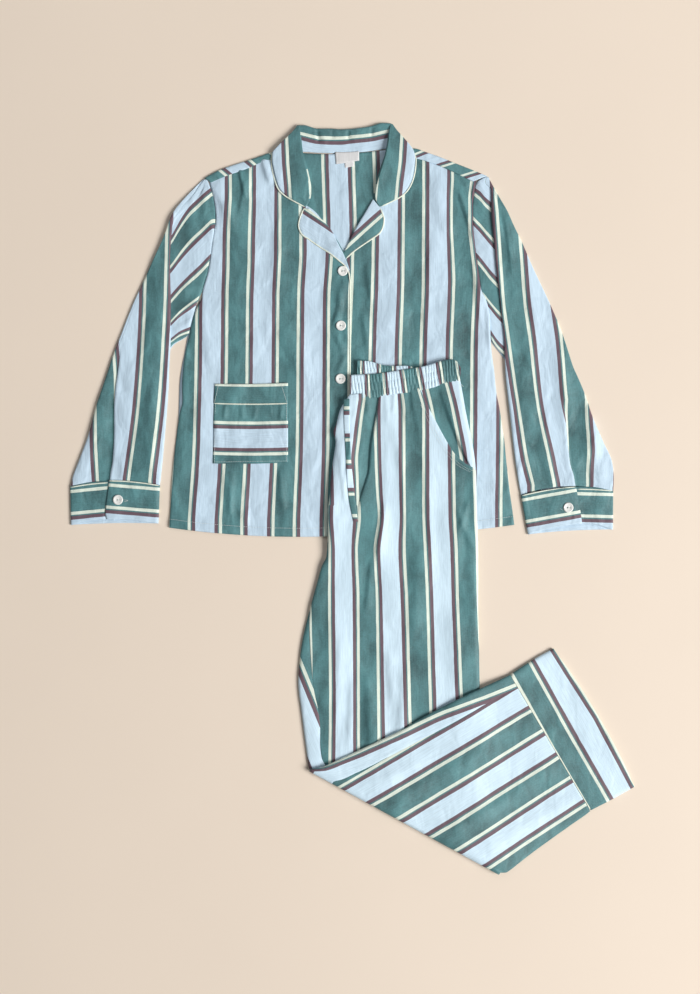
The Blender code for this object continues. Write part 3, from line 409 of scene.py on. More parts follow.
def cloth(name, sheets, wall=WALL):
    """A piece of striped cloth from one or more sheets, each a grid of points with its stripe
    places and its distances along the stripes in mm. The wall is put about the grid."""
    points, faces, uv, start = [], [], [], 0
    for grid, across, along in sheets:
        rows, cols = grid.shape[:2]
        faces.append(grid_faces(rows, cols, start, False)[:, ::-1])
        points.append(metres(grid).reshape(-1, 3))
        uv.append(np.stack([across, along], axis=-1).reshape(-1, 2))
        start += rows * cols
    # trouser pieces get the copy with the lighter blue, which is painted light
    made = put_mesh(
        name,
        np.concatenate(points),
        np.concatenate(faces),
        TROUSER_COTTON_PAINTED_LIGHTER if name.startswith(TROUSER_PIECES) else COTTON,
        np.concatenate(uv),
    )
    return walled(made, wall)


TUBE_SIDES = 8


def tube(name, path, radius, finish, flat=1.0):
    """A cord through the points of a path: a ring of points round each one, square to the path,
    with rounded ends; flat squeezes its height."""
    path = metres(path)
    ahead = unit(np.gradient(path, axis=0))
    side = unit(np.cross(ahead, (0.0, 0.0, 1.0)))
    up = np.cross(side, ahead)
    turn = (np.arange(TUBE_SIDES) * 2 * np.pi / TUBE_SIDES)[None, :, None]
    ends = np.concatenate([[0.05, 0.7], np.ones(len(path) - 4), [0.7, 0.05]])
    size = (radius * 0.001 * ends)[:, None, None]
    ring = side[:, None] * np.cos(turn) + up[:, None] * np.sin(turn) * flat
    points = path[:, None] + ring * size
    faces = grid_faces(len(path), TUBE_SIDES, 0, True)
    return put_mesh(name, points.reshape(-1, 3), faces, finish)


def unit(ways):
    """Directions of length 1."""
    return ways / (np.linalg.norm(ways, axis=1)[:, None] + 1e-12)


def run_of(path):
    """Distance along a path's plan from its start, point by point."""
    return np.concatenate([[0], np.cumsum(np.linalg.norm(np.diff(path[:, :2], axis=0), axis=1))])


def along_path(path, step):
    """The same path with its points step squares apart."""
    path = np.asarray(path, float)
    gone = run_of(path)
    at = np.linspace(0, gone[-1], max(3, int(gone[-1] / step) + 1))
    return np.stack([np.interp(at, gone, path[:, k]) for k in range(3)], axis=-1)


def stitching(name, paths, finish, pitch=1.65, thread=0.32):
    """Rows of stitches as one mesh. A stitch is a six-sided bead two thirds of the pitch long,
    lying along its path and sunk at its ends."""
    beads = []
    turn = np.arange(6) * np.pi / 3
    shares = np.array([-0.34, -0.2, 0.2, 0.34])
    size = np.array([0.35, 1.0, 1.0, 0.35])
    rise = np.array([-0.12, 0.10, 0.10, -0.12])
    for path in paths:
        spots = along_path(path, pitch)
        ahead = unit(np.gradient(spots, axis=0) * (1, 1, 0))
        side = ahead[:, [1, 0, 2]] * (-1, 1, 0)
        middle = spots[:, None] + ahead[:, None] * (shares * pitch)[None, :, None]
        middle[..., 2] += rise
        ring = side[:, None, None] * (np.cos(turn) * thread / SQUARE)[None, None, :, None]
        up = np.array([0, 0, 1.0]) * (np.sin(turn) * thread)[:, None]
        bead = middle[:, :, None] + (ring + up[None, None]) * size[None, :, None, None]
        beads.append(bead.reshape(-1, 24, 3))
    points = metres(np.concatenate(beads))
    faces = grid_faces(4, 6, 0, True) + np.arange(len(points))[:, None, None] * 24
    return put_mesh(name, points.reshape(-1, 3), faces.reshape(-1, 4), finish)


# ---------------- jacket body

BACK_Z = 0.6  # mm, middle of the back's cloth
FRONT_Z = 2.4  # of the fronts
LAP = 1.5  # how much higher the right front lies where it laps over the left one

BACK_SIDES = table(
    "left_x left_y right_x right_y sag",
    (214.4, 196.6, 469.9, 196.6, 0),
    (216.6, 214.6, 468.8, 214.6, 0),
    (214.5, 234, 470.6, 237.2, 0),
    (209.4, 266.2, 475.7, 265, 0),
    (201.6, 296.6, 481.2, 289.5, 0),
    (193.3, 314.6, 486, 307.5, 0),
    (185.4, 350.1, 490.6, 346.9, 0),
    (180, 382.4, 495.1, 382.4, 0),
    (178.5, 421.1, 500.2, 421.1, 0),
    (174.6, 459.8, 506, 459.8, 0),
    (171, 498.5, 510.6, 498.5, 0),
    (169.7, 527, 513.3, 524.5, 9.5),
)
# shoulder fold of the back, and the seam where its strip that lies forward ends
SHOULDERS = (
    table(
        "fold_x fold_y seam_x seam_y",
        (204.7, 178.4, 211, 183),
        (219.5, 170.5, 227, 176.2),
        (232, 166, 238, 172.4),
        (246, 161.5, 250, 168),
        (258, 157.5, 261, 162.8),
        (270, 153.2, 272, 159.4),
        (288, 148, 289, 153.5),
    ),
    table(
        "fold_x fold_y seam_x seam_y",
        (397, 149.5, 397, 154.4),
        (414, 149, 412, 158),
        (427, 153, 423, 160.8),
        (440, 157.5, 434, 164.3),
        (456, 164, 449, 170.5),
        (470, 169.5, 461, 176.2),
        (486.8, 176.4, 472.8, 182),
    ),
)
NECK_STRIPES = ((150, 363.3, 388.9), (220, 365.5, 391.1))


def net_of(*columns):
    """Columns of (x, y, height), each for all the rows, as a net of rows x columns x 3."""
    rows = max(np.size(part) for column in columns for part in column)
    made = [np.stack([np.broadcast_to(p, rows) for p in column], axis=-1) for column in columns]
    return np.stack(made, axis=1)


def across_of(rows, a, b, share, height, bow=0.0):
    """One column at a share of the way from the table's edge a to its edge b, bowed down the
    chart in the middle by bow."""
    x = rows[a + "_x"] * (1 - share) + rows[b + "_x"] * share
    y = rows[a + "_y"] * (1 - share) + rows[b + "_y"] * share
    return x, y + bow * arch(share), height


def inset_of(rows, a, b, inset, height):
    """One column inset squares in from the table's edge a towards its edge b; a negative inset
    is measured from b."""
    dx, dy = rows[b + "_x"] - rows[a + "_x"], rows[b + "_y"] - rows[a + "_y"]
    reach = np.maximum(np.hypot(dx, dy), 1e-6)
    start = a if inset >= 0 else b
    move = np.clip(inset, -0.45 * reach, 0.45 * reach) / reach
    return rows[start + "_x"] + dx * move, rows[start + "_y"] + dy * move, height


def net_between(rows, a, b, *spots):
    """A net from spots between the table's edges a and b, each a kind, a place and a height. The
    place is a share of the way for "at", and for "in" squares in from a, or from b if it is
    negative."""
    kinds = {"at": across_of, "in": inset_of}
    return net_of(*[kinds[kind](rows, a, b, place, height) for kind, place, height in spots])


def even_net(rows, a, b, shares, height=0.0, bow=0.0):
    """A net with one column for each share of the way from the table's edge a to its edge b."""
    return net_of(*[across_of(rows, a, b, share, height, bow) for share in shares])


def build_back():
    """The flat back, and a strip at each shoulder that comes forward over the fold."""
    rows = BACK_SIDES
    shares = np.linspace(0, 1, 12)
    net = even_net(rows, "left", "right", shares, BACK_Z, rows["sag"])
    grid, _, x, y = fine(net, 4.0)
    grid[..., 2] += unevenness(x, y, 3, 0.04)
    sheets = [(grid, stripes(x, y, NECK_STRIPES, 0), y * SQUARE)]
    # neck: from the flat back up to the neck seam, with the crease down its middle
    top = net_of(
        ([286, 300, 315, 335, 360, 385, 400], [151, 153, 154, 154.5, 153, 150.5, 149.5], 1.9),
        ([286, 300, 315, 335, 360, 385, 400], 176.0, 1.7),
        ([284, 299, 315, 335, 360, 385, 402], 215.0, 1.5),
        ([284, 299, 315, 335, 360, 385, 402], 268.0, 1.4),
    ).transpose(1, 0, 2)
    grid, _, x, y = fine(top)
    creases = (
        (341, 165, 346, 262, 0, 2.5, 5, 0.5),
        (312, 180, 330, 200, 0, 4, 5, 0.3),
        (352, 180, 336, 214, 0, 4, 6, 0.4),
        (378, 170, 366, 230, 0, 5, 7, 0.4),
    )
    grid[..., 2] += folds(x, y, creases)
    sheets.append((grid, stripes(x, y, NECK_STRIPES, 0), y * SQUARE))
    for rows, slant in zip(SHOULDERS, (-0.85, 1.4)):
        net = net_between(
            rows, "fold", "seam",
            ("in", 3.0, BACK_Z),
            ("in", 0.9, BACK_Z + 0.1),
            ("in", 0.0, 1.7),
            ("in", 0.8, 3.1),
            ("at", 0.45, 3.5),
            ("at", 0.85, 3.4),
            ("at", 1.0, 3.0),
        ).transpose(1, 0, 2)
        grid, _, x, y = fine(net, 1.6)
        place = x + slant * (y - np.interp(x, rows["fold_x"], rows["fold_y"]))
        middles = ((0, 209.3, 234.5),) if slant < 0 else ((0, 412, 438.5),)
        middles = np.array(middles * 2) + ((0, 0, 0), (1, 0, 0))
        sheets.append((grid, stripes(place, y, middles, 0), y * SQUARE))
    made = cloth("jacket_back_cloth", sheets)
    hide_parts("jacket_back")


FRONT_RIGHT = table(
    "side_x side_y edge_x edge_y sag",
    (209.4, 180.6, 286.4, 150.6, 0),
    (212, 192, 291, 176, 0),
    (215, 206, 298, 197.9, 0),
    (216, 219, 315.7, 212.6, 0),
    (214, 232, 328, 228, 0),
    (212, 245, 338, 242, 0),
    (210.5, 258, 345.5, 257, 0),
    (208, 273, 349.3, 271, 0),
    (203.5, 288, 350, 286, 0),
    (201.3, 299, 350, 298, 0),
    (196, 310, 350, 309, 0),
    (191, 327, 350, 325, 0),
    (189, 337, 350, 337, 0),
    (186, 350, 350, 350, 0),
    (183.5, 366, 350, 366, 0),
    (182.3, 385, 350, 385, 0),
    (182.6, 400, 350, 400, 0),
    (179.6, 415, 350, 415, 0),
    (177.5, 430, 350, 430, 0),
    (174.5, 455, 350, 455, 0),
    (172, 480, 350, 480, 0),
    (171, 500, 350, 502, 1),
    (170, 517, 350, 523, 3),
    (169, 527.5, 350, 535.3, 4.5),
)
FRONT_LEFT = table(
    "edge_x edge_y side_x side_y sag",
    (398, 150.6, 476, 179, 0),
    (392, 176, 474.4, 192, 0),
    (380, 198, 472.4, 206, 0),
    (364, 218, 472.4, 220, 0),
    (352, 238, 473.8, 238, 0),
    (343, 256, 476, 256, 0),
    (335, 270, 478.6, 274, 0),
    (332, 286, 481, 290, 0),
    (331, 303, 487, 303, 0),
    (331, 320, 490, 320, 0),
    (331, 336, 490.3, 336, 0),
    (331, 351, 491.3, 351, 0),
    (331, 371, 494, 371, 0),
    (331, 392, 496, 392, 0),
    (331, 407, 499, 407, 0),
    (331, 420, 501, 420, 0),
    (331, 440, 504, 440, 0),
    (331, 461, 506, 461, 0),
    (331, 488, 509, 488, 0.5),
    (331, 512, 512, 509, 2),
    (332, 534.8, 514, 524.8, 4),
)
RIGHT_STRIPES = (
    (200, 290, 314.7),
    (250, 290.5, 316.3),
    (300, 288.3, 313.7),
    (340, 288, 313.4),
    (440, 287, 312.7),
    (520, 283.7, 309.9),
)
LEFT_STRIPES = (
    (180, 413.6, 438.4, 462),
    (200, 413.5, 438.3, 460.4),
    (225, 413.4, 438.3, 460.2),
    (250, 413.2, 438.3, 462),
    (280, 413, 438.3, 464),
    (345, 410.8, 436.2, 461.6),
    (440, 409.7, 435.3, 460.9),
    (500, 408.4, 434.1, 459.8),
)
# x1 y1 x2 y2 bow left right height: folds of the right front, chest to hem
RIGHT_FOLDS = (
    (262, 158, 271, 184, 0, 3, 6, 2.2),
    (240, 172, 252, 200, 2, 5, 8, 1),
    (213, 186, 226, 216, 2, 4, 9, 1.6),
    (226, 205, 250, 262, -4, 9, 16, 1.6),
    (277, 222, 273, 306, 2, 5, 15, 1.7),
    (300, 236, 306, 290, 3, 8, 12, 1),
    (281, 326, 303, 382, 2, 7, 15, 2.2),
    (236, 280, 246, 368, 5, 12, 16, 1.3),
    (206, 300, 214, 372, -4, 5, 12, 1.5),
    (345, 280, 337, 304, 0, 3, 6, 1.5),
    (333, 300, 330, 330, 0, 4, 6, -0.7),
    (196, 372, 200, 450, 2, 6, 10, 1.2),
    (222, 466, 232, 512, 1, 4, 8, 1.2),
    (238, 492, 244, 524, 0, 4, 6, 1),
    (283, 466, 280, 508, 0, 4, 7, 1.1),
    (262, 470, 258, 520, 1, 5, 8, 0.6),
    (306, 400, 311, 500, 3, 8, 12, 1),
    (239, 168, 246, 198, 0, 1.6, 3.5, 1.5),
    (247, 178, 239, 216, 0, 2, 4, 1.1),
    (228, 190, 234, 234, 0, 2, 4.5, 1),
    (340, 296, 334, 324, 1, 1.6, 3.2, 1.6),
    (345, 306, 341, 340, 0, 1.6, 3, -1),
    (336, 334, 344, 354, 0, 2, 3, 1.2),
    (345, 354, 337, 374, 0, 2, 3, 1.3),
    (300, 326, 306, 374, 0, 3, 5, 0.9),
    (232, 470, 229, 518, 0, 1.6, 3.2, 1.2),
    (243, 474, 247, 526, 0, 1.6, 3.2, 1.1),
    (279, 472, 284, 514, 0, 2, 3.4, 1.1),
    (199, 480, 193, 521, 0, 5, 7, 0.8),
)
LEFT_FOLDS = (
    (458, 190, 473, 242, 1.5, 2.8, 6, 2.5),
    (474, 184, 471, 224, 0, 2.4, 4, 1.5),
    (458, 171, 468, 188, 0, 2, 3, 0.9),
    (436, 178, 447, 236, -3, 7, 12, 1.3),
    (477, 240, 483, 302, 0, 12, 8, 1.6),
    (425, 215, 432, 300, 5, 9, 14, 1.3),
    (397, 240, 390, 330, 4, 10, 12, 1.3),
    (372, 262, 377, 330, -3, 8, 11, 1),
    (450, 300, 446, 372, -4, 10, 14, 1.2),
    (480, 330, 484, 420, 3, 8, 6, 1.4),
    (366, 262, 371, 302, 0, 2, 4.5, 1.2),
    (362, 312, 368, 352, 0, 2, 4.5, 1.3),
    (430, 250, 424, 332, 0, 3, 7, 0.9),
    (472, 258, 481, 326, 0, 2.4, 5, 1.3),
    (486, 306, 491, 356, 0, 2.4, 4, 1.1),
    (489, 430, 497, 515, 0, 6, 6, 0.7),
)


def hem_swell(x, y, hem_y):
    """The hem is turned up twice, so it stands half a mm higher, uneven from pull to pull."""
    band = ease((y - hem_y + 8.6) / 1.6)
    return band * (0.55 + 0.16 * np.sin(x / 3.1) * np.sin(x / 11.0))


def lapped(x):
    """How much higher the right front lies at x, past the edge of the left one beneath it."""
    return LAP * ease((x - 319) / 10)


def right_front_z(x, y):
    """Height of the right front: flat cloth, higher where it laps, with its folds, which are
    lower where the trousers press on it."""
    pressed = ease((x - 318) / 14) * ease((y - 392) / 16)
    form = np.maximum(folds(x, y, RIGHT_FOLDS) + unevenness(x, y, 11, 0.32, 1.6), -0.9)
    return FRONT_Z + lapped(x) + form * (1 - 0.75 * pressed)


def left_front_z(x, y):
    """Height of the left front: flat under the right one, with its folds past it."""
    lying = ease((x - 334) / 14)
    pressed = ease((y - 345) / 16) * ease((505 - x) / 18)
    form = np.clip(folds(x, y, LEFT_FOLDS) + unevenness(x, y, 12, 0.32, 1.6), -0.9, 4.0)
    return FRONT_Z + form * lying * (1 - 0.75 * pressed)


def front_sheet(rows, a, b, heights, middles):
    """One front: its plan between two edges, its height, and the drop at its side seam."""
    side_at_start = a == "side"
    shares = np.linspace(0, 1, 11)
    shares = np.sort(np.append(shares, 0.005 if side_at_start else 0.995))
    net = even_net(rows, a, b, shares, 0.0, rows["sag"])
    grid, _, x, y = fine(net, 1.7)
    hem_y = y[-1:, :]
    side_x = x[:, :1] if side_at_start else x[:, -1:]
    inward = np.abs(x - side_x)
    under_strip = ease((5.0 - (y - y[:1, :])) / 3.0)
    z = np.maximum(heights(x, y), 1.9) * (1 - 0.12 * under_strip) + hem_swell(x, y, hem_y)
    z = z * (0.42 + 0.58 * ease(inward / 0.8))
    z = z - 0.5 * ease((y - hem_y + 1.2) / 1.2)
    grid[..., 2] = z
    return grid, stripes(x, y, middles, 0), y * SQUARE


def build_fronts():
    for side, rows, a, b, heights, middles, area in (
        ("right", FRONT_RIGHT, "side", "edge", right_front_z, RIGHT_STRIPES, 0.16),
        ("left", FRONT_LEFT, "edge", "side", left_front_z, LEFT_STRIPES, 0.155),
    ):
        name = "jacket_front_" + side
        made = cloth(name + "_cloth", [front_sheet(rows, a, b, heights, middles)])
        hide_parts(name)


# ---------------- lapels

# outer piped edge and roll of each lapel, from its notch down, and how high the roll stands
LAPEL_RIGHT = table(
    "roll_x roll_y out_x out_y rise",
    (309, 209.6, 304.1, 208.6, 1.2),
    (313, 213, 302, 213.5, 2.2),
    (318.5, 217.5, 299.6, 220, 3.2),
    (324, 222, 298.6, 226, 3.6),
    (328.5, 227, 301, 233.6, 3.6),
    (332, 232, 310, 240.5, 3.4),
    (335.5, 239, 320, 247.5, 3),
    (339.5, 247, 330, 254, 2.4),
    (343.5, 255, 340, 262, 1.8),
    (346.5, 262.5, 345.5, 267, 1.2),
    (349.3, 270, 349.2, 275, 0.8),
)
LAPEL_LEFT = table(
    "roll_x roll_y out_x out_y rise",
    (373, 200, 379.6, 207.8, 1.4),
    (369.5, 206, 382, 213, 2.6),
    (366, 212, 384, 220, 3.4),
    (360.5, 221, 383, 227, 3.8),
    (357, 227, 380, 233, 3.6),
    (353.5, 233.5, 372, 239.2, 3.2),
    (350.5, 239.5, 362, 246, 2.6),
    (347.5, 246, 353, 252.5, 1.8),
    (343.5, 254, 345.5, 259.5, 1),
)


def lapel_grid(rows, under_z):
    """A facing turned back: from its outer edge up to the rolled crease, round it, and a short
    way back beneath itself."""
    rise = rows["rise"] * 0.5
    low = under_z + 1.5
    net = net_between(
        rows, "out", "roll",
        ("at", 0.0, low),
        ("at", 0.25, low + 0.35 * rise),
        ("at", 0.55, low + 0.65 * rise),
        ("at", 0.9, low + 0.95 * rise),
        ("at", 0.985, low + 0.8 * rise),
        ("at", 1.0, low + 0.2 * rise - 0.3),
        ("at", 0.96, low - 0.9),
        ("at", 0.8, low - 1.0),
    )
    return fine(net, 1.3)


def build_lapels():
    """The two facings. A stripe's place falls with the distance along a line square to it."""
    grid, at, x, y = lapel_grid(LAPEL_RIGHT, FRONT_Z + lapped(LAPEL_RIGHT["out_x"]))
    grid[..., 2] += folds(x, y, ((322, 226, 334, 252, 0, 3, 4, 0.5),)) * (at < 4.5)
    place = np.clip(0.5644 - (0.559 * x - 0.829 * y + 6.6) / 24, 0.37, 1.3)
    right = cloth("lapel_right_cloth", [(grid, place, y * SQUARE)])
    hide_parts("lapel_right")
    grid, _, x, y = lapel_grid(LAPEL_LEFT, FRONT_Z)
    place = 0.5644 - (0.667 * x + 0.745 * y - 411.6) / 26
    left = cloth("lapel_left_cloth", [(grid, place, y * SQUARE)])
    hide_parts("lapel_left")


# ---------------- collar

# the fall on each side, from the back of the neck to its point: outer edge, crest of the roll,
# how high the crest stands, height at the outer edge, and whether that edge is a fold
FALL_RIGHT = table(
    "out_x out_y roll_x roll_y crest low folded",
    (297.5, 126.2, 300.5, 126, 4.6, 3.2, 1),
    (294, 131, 301, 131.5, 6.5, 3.4, 1),
    (288.5, 137, 301.3, 138, 7.6, 3.6, 1),
    (282.5, 142.7, 301.8, 144, 8.2, 3.8, 1),
    (277, 148.5, 302.4, 150, 8.6, 4, 1),
    (273, 153.5, 303.6, 156, 8.8, 4.2, 0.6),
    (271.8, 160, 305, 162, 8.8, 4.4, 0),
    (272.6, 170, 307, 171.5, 8.4, 4.4, 0),
    (275, 180, 309, 180.5, 7.8, 4.3, 0),
    (278.3, 189, 310.2, 188, 7, 4.2, 0),
    (283, 194.3, 310.2, 193.5, 6.4, 4.2, 0),
    (290, 199.2, 309.6, 198, 5.8, 4.1, 0),
    (298, 203.5, 308.6, 202, 5.2, 4.1, 0),
    (305.3, 207.2, 307.4, 205.4, 4.6, 4.1, 0),
)
FALL_LEFT = table(
    "roll_x roll_y out_x out_y crest low folded",
    (390, 124.2, 392.5, 125, 4.6, 3.2, 1),
    (388.8, 130.5, 396, 130.5, 8, 3.4, 1),
    (388, 137, 401, 136.5, 10, 3.6, 1),
    (387.2, 143.5, 406, 142.3, 11.4, 3.8, 1),
    (386.2, 149.5, 410.4, 147.8, 12, 4, 1),
    (385, 155, 413.6, 153.4, 12.2, 4.2, 0.6),
    (383.2, 162, 415.5, 160.4, 12, 4.4, 0),
    (380.3, 172, 415, 169, 11.4, 4.4, 0),
    (377.4, 182, 413.3, 177.5, 10.2, 4.3, 0),
    (375.4, 190, 410.6, 185, 9, 4.2, 0),
    (374.6, 196, 406.5, 191.6, 7.8, 4.2, 0),
    (375, 200, 400.5, 197, 6.6, 4.1, 0),
    (376.6, 204, 391, 202, 5.4, 4.1, 0),
    (378.4, 207.2, 381, 206.8, 4.6, 4.1, 0),
)
# the band behind the neck, from the right front's side to the left front's
NECK_BAND = table(
    "fold_x fold_y seam_x seam_y green_y",
    (298.5, 126, 299, 152, 134),
    (304, 125.8, 305, 152.2, 135.4),
    (310.5, 127.5, 311, 152.6, 137),
    (317, 129.3, 317.5, 153, 138.3),
    (325, 129.3, 325.5, 153.3, 138.8),
    (332.5, 129.3, 333, 153.5, 139),
    (340, 130, 340.5, 153.5, 139),
    (350, 129.6, 351, 153, 138),
    (360, 128.5, 362, 152.4, 137),
    (370, 127, 373, 151, 135.5),
    (382, 123.6, 384, 149.4, 133),
    (391, 124, 392, 148.8, 131.6),
)


def build_collar():
    """Two falls and the band that joins them behind the neck. Each fall runs from its outer
    edge up to the crest of the roll and down its stand to the neck seam."""
    sheets = []
    for rows, turn, middles in (
        (FALL_RIGHT, 1, ((125, 296.8), (160, 298), (190, 300.3), (207, 301))),
        (FALL_LEFT, -1, ((125, 391.8), (160, 390), (185, 387), (207, 385))),
    ):
        crest, low, folded = rows["crest"], rows["low"], rows["folded"]
        net = net_between(
            rows, "out", "roll",
            ("in", 5.0, np.where(folded > 0.5, 0.9, low - 0.3)),
            ("in", 0.7, np.where(folded > 0.5, 1.1, low - 0.2)),
            ("in", 0.0, low * (1 - 0.42 * folded) - 0.1 * (1 - folded)),
            ("in", 0.8, low + 0.1),
            ("at", 0.25, low + (crest - low) * 0.24),
            ("at", 0.5, low + (crest - low) * 0.46),
            ("at", 0.75, low + (crest - low) * 0.72),
            ("in", -2.4, low + (crest - low) * 0.95),
            ("in", -0.9, crest),
            ("in", 0.0, crest * 0.8 + 0.5),
            ("at", 1.0, crest * 0.45 + 0.9),
            ("in", -1.8, 2.9),
            ("in", -5.0, 2.8),
        )
        y_roll = rows["roll_y"]
        sliver = ease((y_roll - 158) / 8) * ease((207 - y_roll) / 10)
        net[:, 8, 0] += turn * 0.4 * sliver
        net[:, 9, 0] += turn * 1.5 * sliver
        net[:, 10, 0] += turn * 0.9 * sliver
        grid, at, x, y = fine(net, 1.4)
        green = np.array(middles)
        centre = smoothly(np.clip(y, green[0, 0], green[-1, 0]), green[:, 0], green[:, 1])
        place = (x - centre) / HALF * -turn
        first, last = (168, 201) if turn > 0 else (183, 196)
        cream = ease((y - first) / 3) * ease((last - y) / 3)
        place = np.where((at > 9)[None], 0.22 + 0.186 * cream, place)
        on_top = ((at > 2.5) & (at < 8.5))[None]
        grid[..., 2] += on_top * (0.25 * np.sin(y / 6.5) + unevenness(x, y, 21, 0.12))
        sheets.append((grid, place, y * SQUARE))
    rows = NECK_BAND
    net = net_between(
        rows, "fold", "seam",
        ("in", 7.0, 0.6),
        ("in", 1.2, 0.7),
        ("in", 0.0, 3.0),
        ("in", 1.3, 5.2),
        ("at", 0.3, 5.0),
        ("at", 0.6, 3.8),
        ("at", 0.94, 2.7),
        ("at", 1.0, 1.9),
    ).transpose(1, 0, 2)
    grid, _, x, y = fine(net, 1.4)
    lower_at = smoothly(np.clip(x, 299, 392), rows["seam_x"], rows["green_y"])
    place = 0.406 + (y - lower_at) / 28.0
    down = np.linspace(0, 1, len(grid))[:, None]
    top = ease((down - 0.28) / 0.1)
    puckers = (
        (316.5, 128, 318.5, 143, 0, 1.2, 2.6, -1.4),
        (331.5, 130, 333, 139, 0, 1.2, 2.4, -0.9),
        (348, 129, 347.5, 142, 0, 1.2, 2.6, -1.4),
        (372, 126, 371, 138, 0, 1.2, 2.4, -1),
        (324, 132, 326, 148, 0, 4, 5, 0.5),
        (357, 130, 356, 147, 0, 5, 5, 0.5),
    )
    grid[..., 2] += folds(x, y, puckers) * top
    sheets.append((grid, place, x * SQUARE))
    made = cloth("collar_cloth", sheets)
    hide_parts("collar")


# ---------------- sleeves and cuffs

# y at the inner fold, slope: how much further down the outer one is, bow: of the line between
# them, seam: armhole or underarm seam, inner and outer: the two side folds of the upper layer,
# depth: how far the pleat's valley lies behind the inner fold, back: end of the lower layer, cap,
# mid and top: heights of the pleat's three layers, all along one arm from shoulder to cuff
SLEEVE_RIGHT = table(
    "y slope bow seam inner outer depth back cap mid top",
    (179.8, 0, 0, 207.3, 204.8, 203.8, -0.6, 207.1, 2.6, 2.6, 2.6),
    (186.2, 0, 0, 209.6, 200.2, 197, -3.9, 209.8, 2.8, 2.8, 2.8),
    (193.3, 0, 0, 212.2, 195.7, 189.9, -5.2, 212.5, 2.9, 3, 3),
    (201.7, 0, 0, 213.9, 188.6, 182.2, -5.2, 214.6, 2.9, 3.2, 3.4),
    (210.8, 0, 0, 215.2, 179.6, 175.1, -4.5, 215.9, 2.8, 3.4, 4),
    (219.8, 0, 0, 215.3, 173.2, 170.6, -2.6, 215.9, 2.7, 3.8, 5),
    (230.8, 0, 0, 214.2, 172.2, 166.7, 1.6, 214.9, 2.6, 4.4, 6.2),
    (243, 0, 0, 212.5, 171, 161.5, 3.9, 213, 2.5, 4.7, 6.9),
    (259.8, 0, 0, 209.7, 170.1, 153.5, 7.7, 210.4, 2.4, 4.8, 7.2),
    (282.4, 0, 0, 204.2, 170.5, 143.5, 10.3, 205.3, 2.3, 4.8, 7.4),
    (305, 0, 0, 196.4, 171, 133.1, 10.3, 196.8, 2.2, 4.8, 7.6),
    (324.3, 0, 0, 191.1, 170.7, 125.4, 10.3, 190.3, 2.1, 4.8, 7.6),
    (334.6, 0, 0, 188.3, 170.8, 121.5, 10.3, 188.4, 2.1, 4.6, 7.4),
    (345, 0, 0, 172.5, 170.7, 117.3, 10.3, 173.8, 2.1, 4.2, 7),
    (357.9, 0, 0, 165.4, 169.9, 112.5, 9.7, 165.4, 2.2, 3.8, 6.6),
    (370.8, 0, 0, 160.9, 169.3, 108.3, 8.4, 159.6, 2, 3.4, 6.2),
    (388.8, 0, 0, 160.2, 168.6, 102.2, 7.7, 159, 1.4, 2.2, 5.8),
    (408.2, 0, 0, 160.2, 167.3, 95.7, 7.1, 159, 0.8, 1.4, 5.6),
    (434, 0, 0, 158.3, 165.1, 89, 6.5, 157, 0.6, 1.2, 5.4),
    (459.8, 0, 0, 156.4, 162.8, 79.6, 6.5, 155.1, 0.6, 1.1, 5.2),
    (477, 0, -3, 154.6, 160.9, 73.2, 6.5, 153.3, 0.6, 1, 4.8),
    (485.3, 0.6, -4.8, 153.8, 159.9, 71.2, 6.5, 152.5, 0.6, 0.9, 3.6),
)
SLEEVE_LEFT = table(
    "y slope bow seam inner outer depth back cap mid top",
    (177.2, 0, 0, 485.9, 487.3, 488, -0.6, 485.9, 2.6, 2.6, 2.6),
    (182.4, 0, 0, 477, 488.6, 490.6, -3.9, 481.4, 2.9, 3, 3.2),
    (190.8, 0, 0, 474.6, 490.8, 495.1, 1, 475.1, 3, 4.6, 6.4),
    (200.4, 0, 0, 473, 491.1, 500.6, 3.9, 470.3, 2.9, 5.6, 8.4),
    (210.8, 0, 0, 472.4, 491.1, 506.7, 7.1, 469.5, 2.8, 6.2, 9.6),
    (224.3, 0, 0, 472.6, 491.9, 512.8, 9, 470, 2.6, 6.4, 10.2),
    (243.7, 0, 0, 474.4, 494.1, 522.2, 10.3, 472.4, 2.5, 6.4, 10.2),
    (266.2, 0, 0, 477.4, 495.9, 531.9, 10.3, 476.6, 2.4, 6, 9.8),
    (288.8, 0, 0, 481, 498.5, 542.5, 10.3, 480.8, 2.3, 5.4, 9),
    (307.5, 0, 0, 487.6, 500.6, 551.2, 10.3, 486.7, 2.2, 4.9, 8.2),
    (327.5, 0, 0, 489.8, 502.8, 559.6, 10.3, 489.3, 2.1, 4.8, 7.6),
    (339.1, 0, 0, 491.2, 503.9, 563.8, 10.3, 490.8, 2.1, 4.5, 7.2),
    (355.3, 0, 0, 502.8, 504.5, 569, 10.3, 501.5, 2.2, 4, 6.8),
    (366.9, 0, 0, 509.9, 505, 572.8, 9.7, 509.9, 2, 3.5, 6.6),
    (379.8, 0, 0, 513.5, 506, 578.6, 8.4, 514.8, 1.6, 2.8, 6.4),
    (396.6, 0, 0, 515.7, 507.8, 585.4, 7.7, 517, 1, 1.9, 6.2),
    (415.9, 0, 0, 517, 509.9, 591.9, 7.1, 518.3, 0.7, 1.4, 6),
    (440.4, 0, 0, 519, 512.8, 602.2, 6.5, 520.2, 0.6, 1.2, 5.8),
    (463.7, 0, 0, 521.5, 515.7, 612, 6.5, 522.8, 0.6, 1.1, 5.4),
    (482, -3, -4, 524.6, 518.6, 613.4, 6.5, 526, 0.6, 1, 4.8),
    (494.9, -3.5, -7.1, 526.7, 520.9, 612.8, 6.5, 528, 0.6, 0.9, 3.6),
)
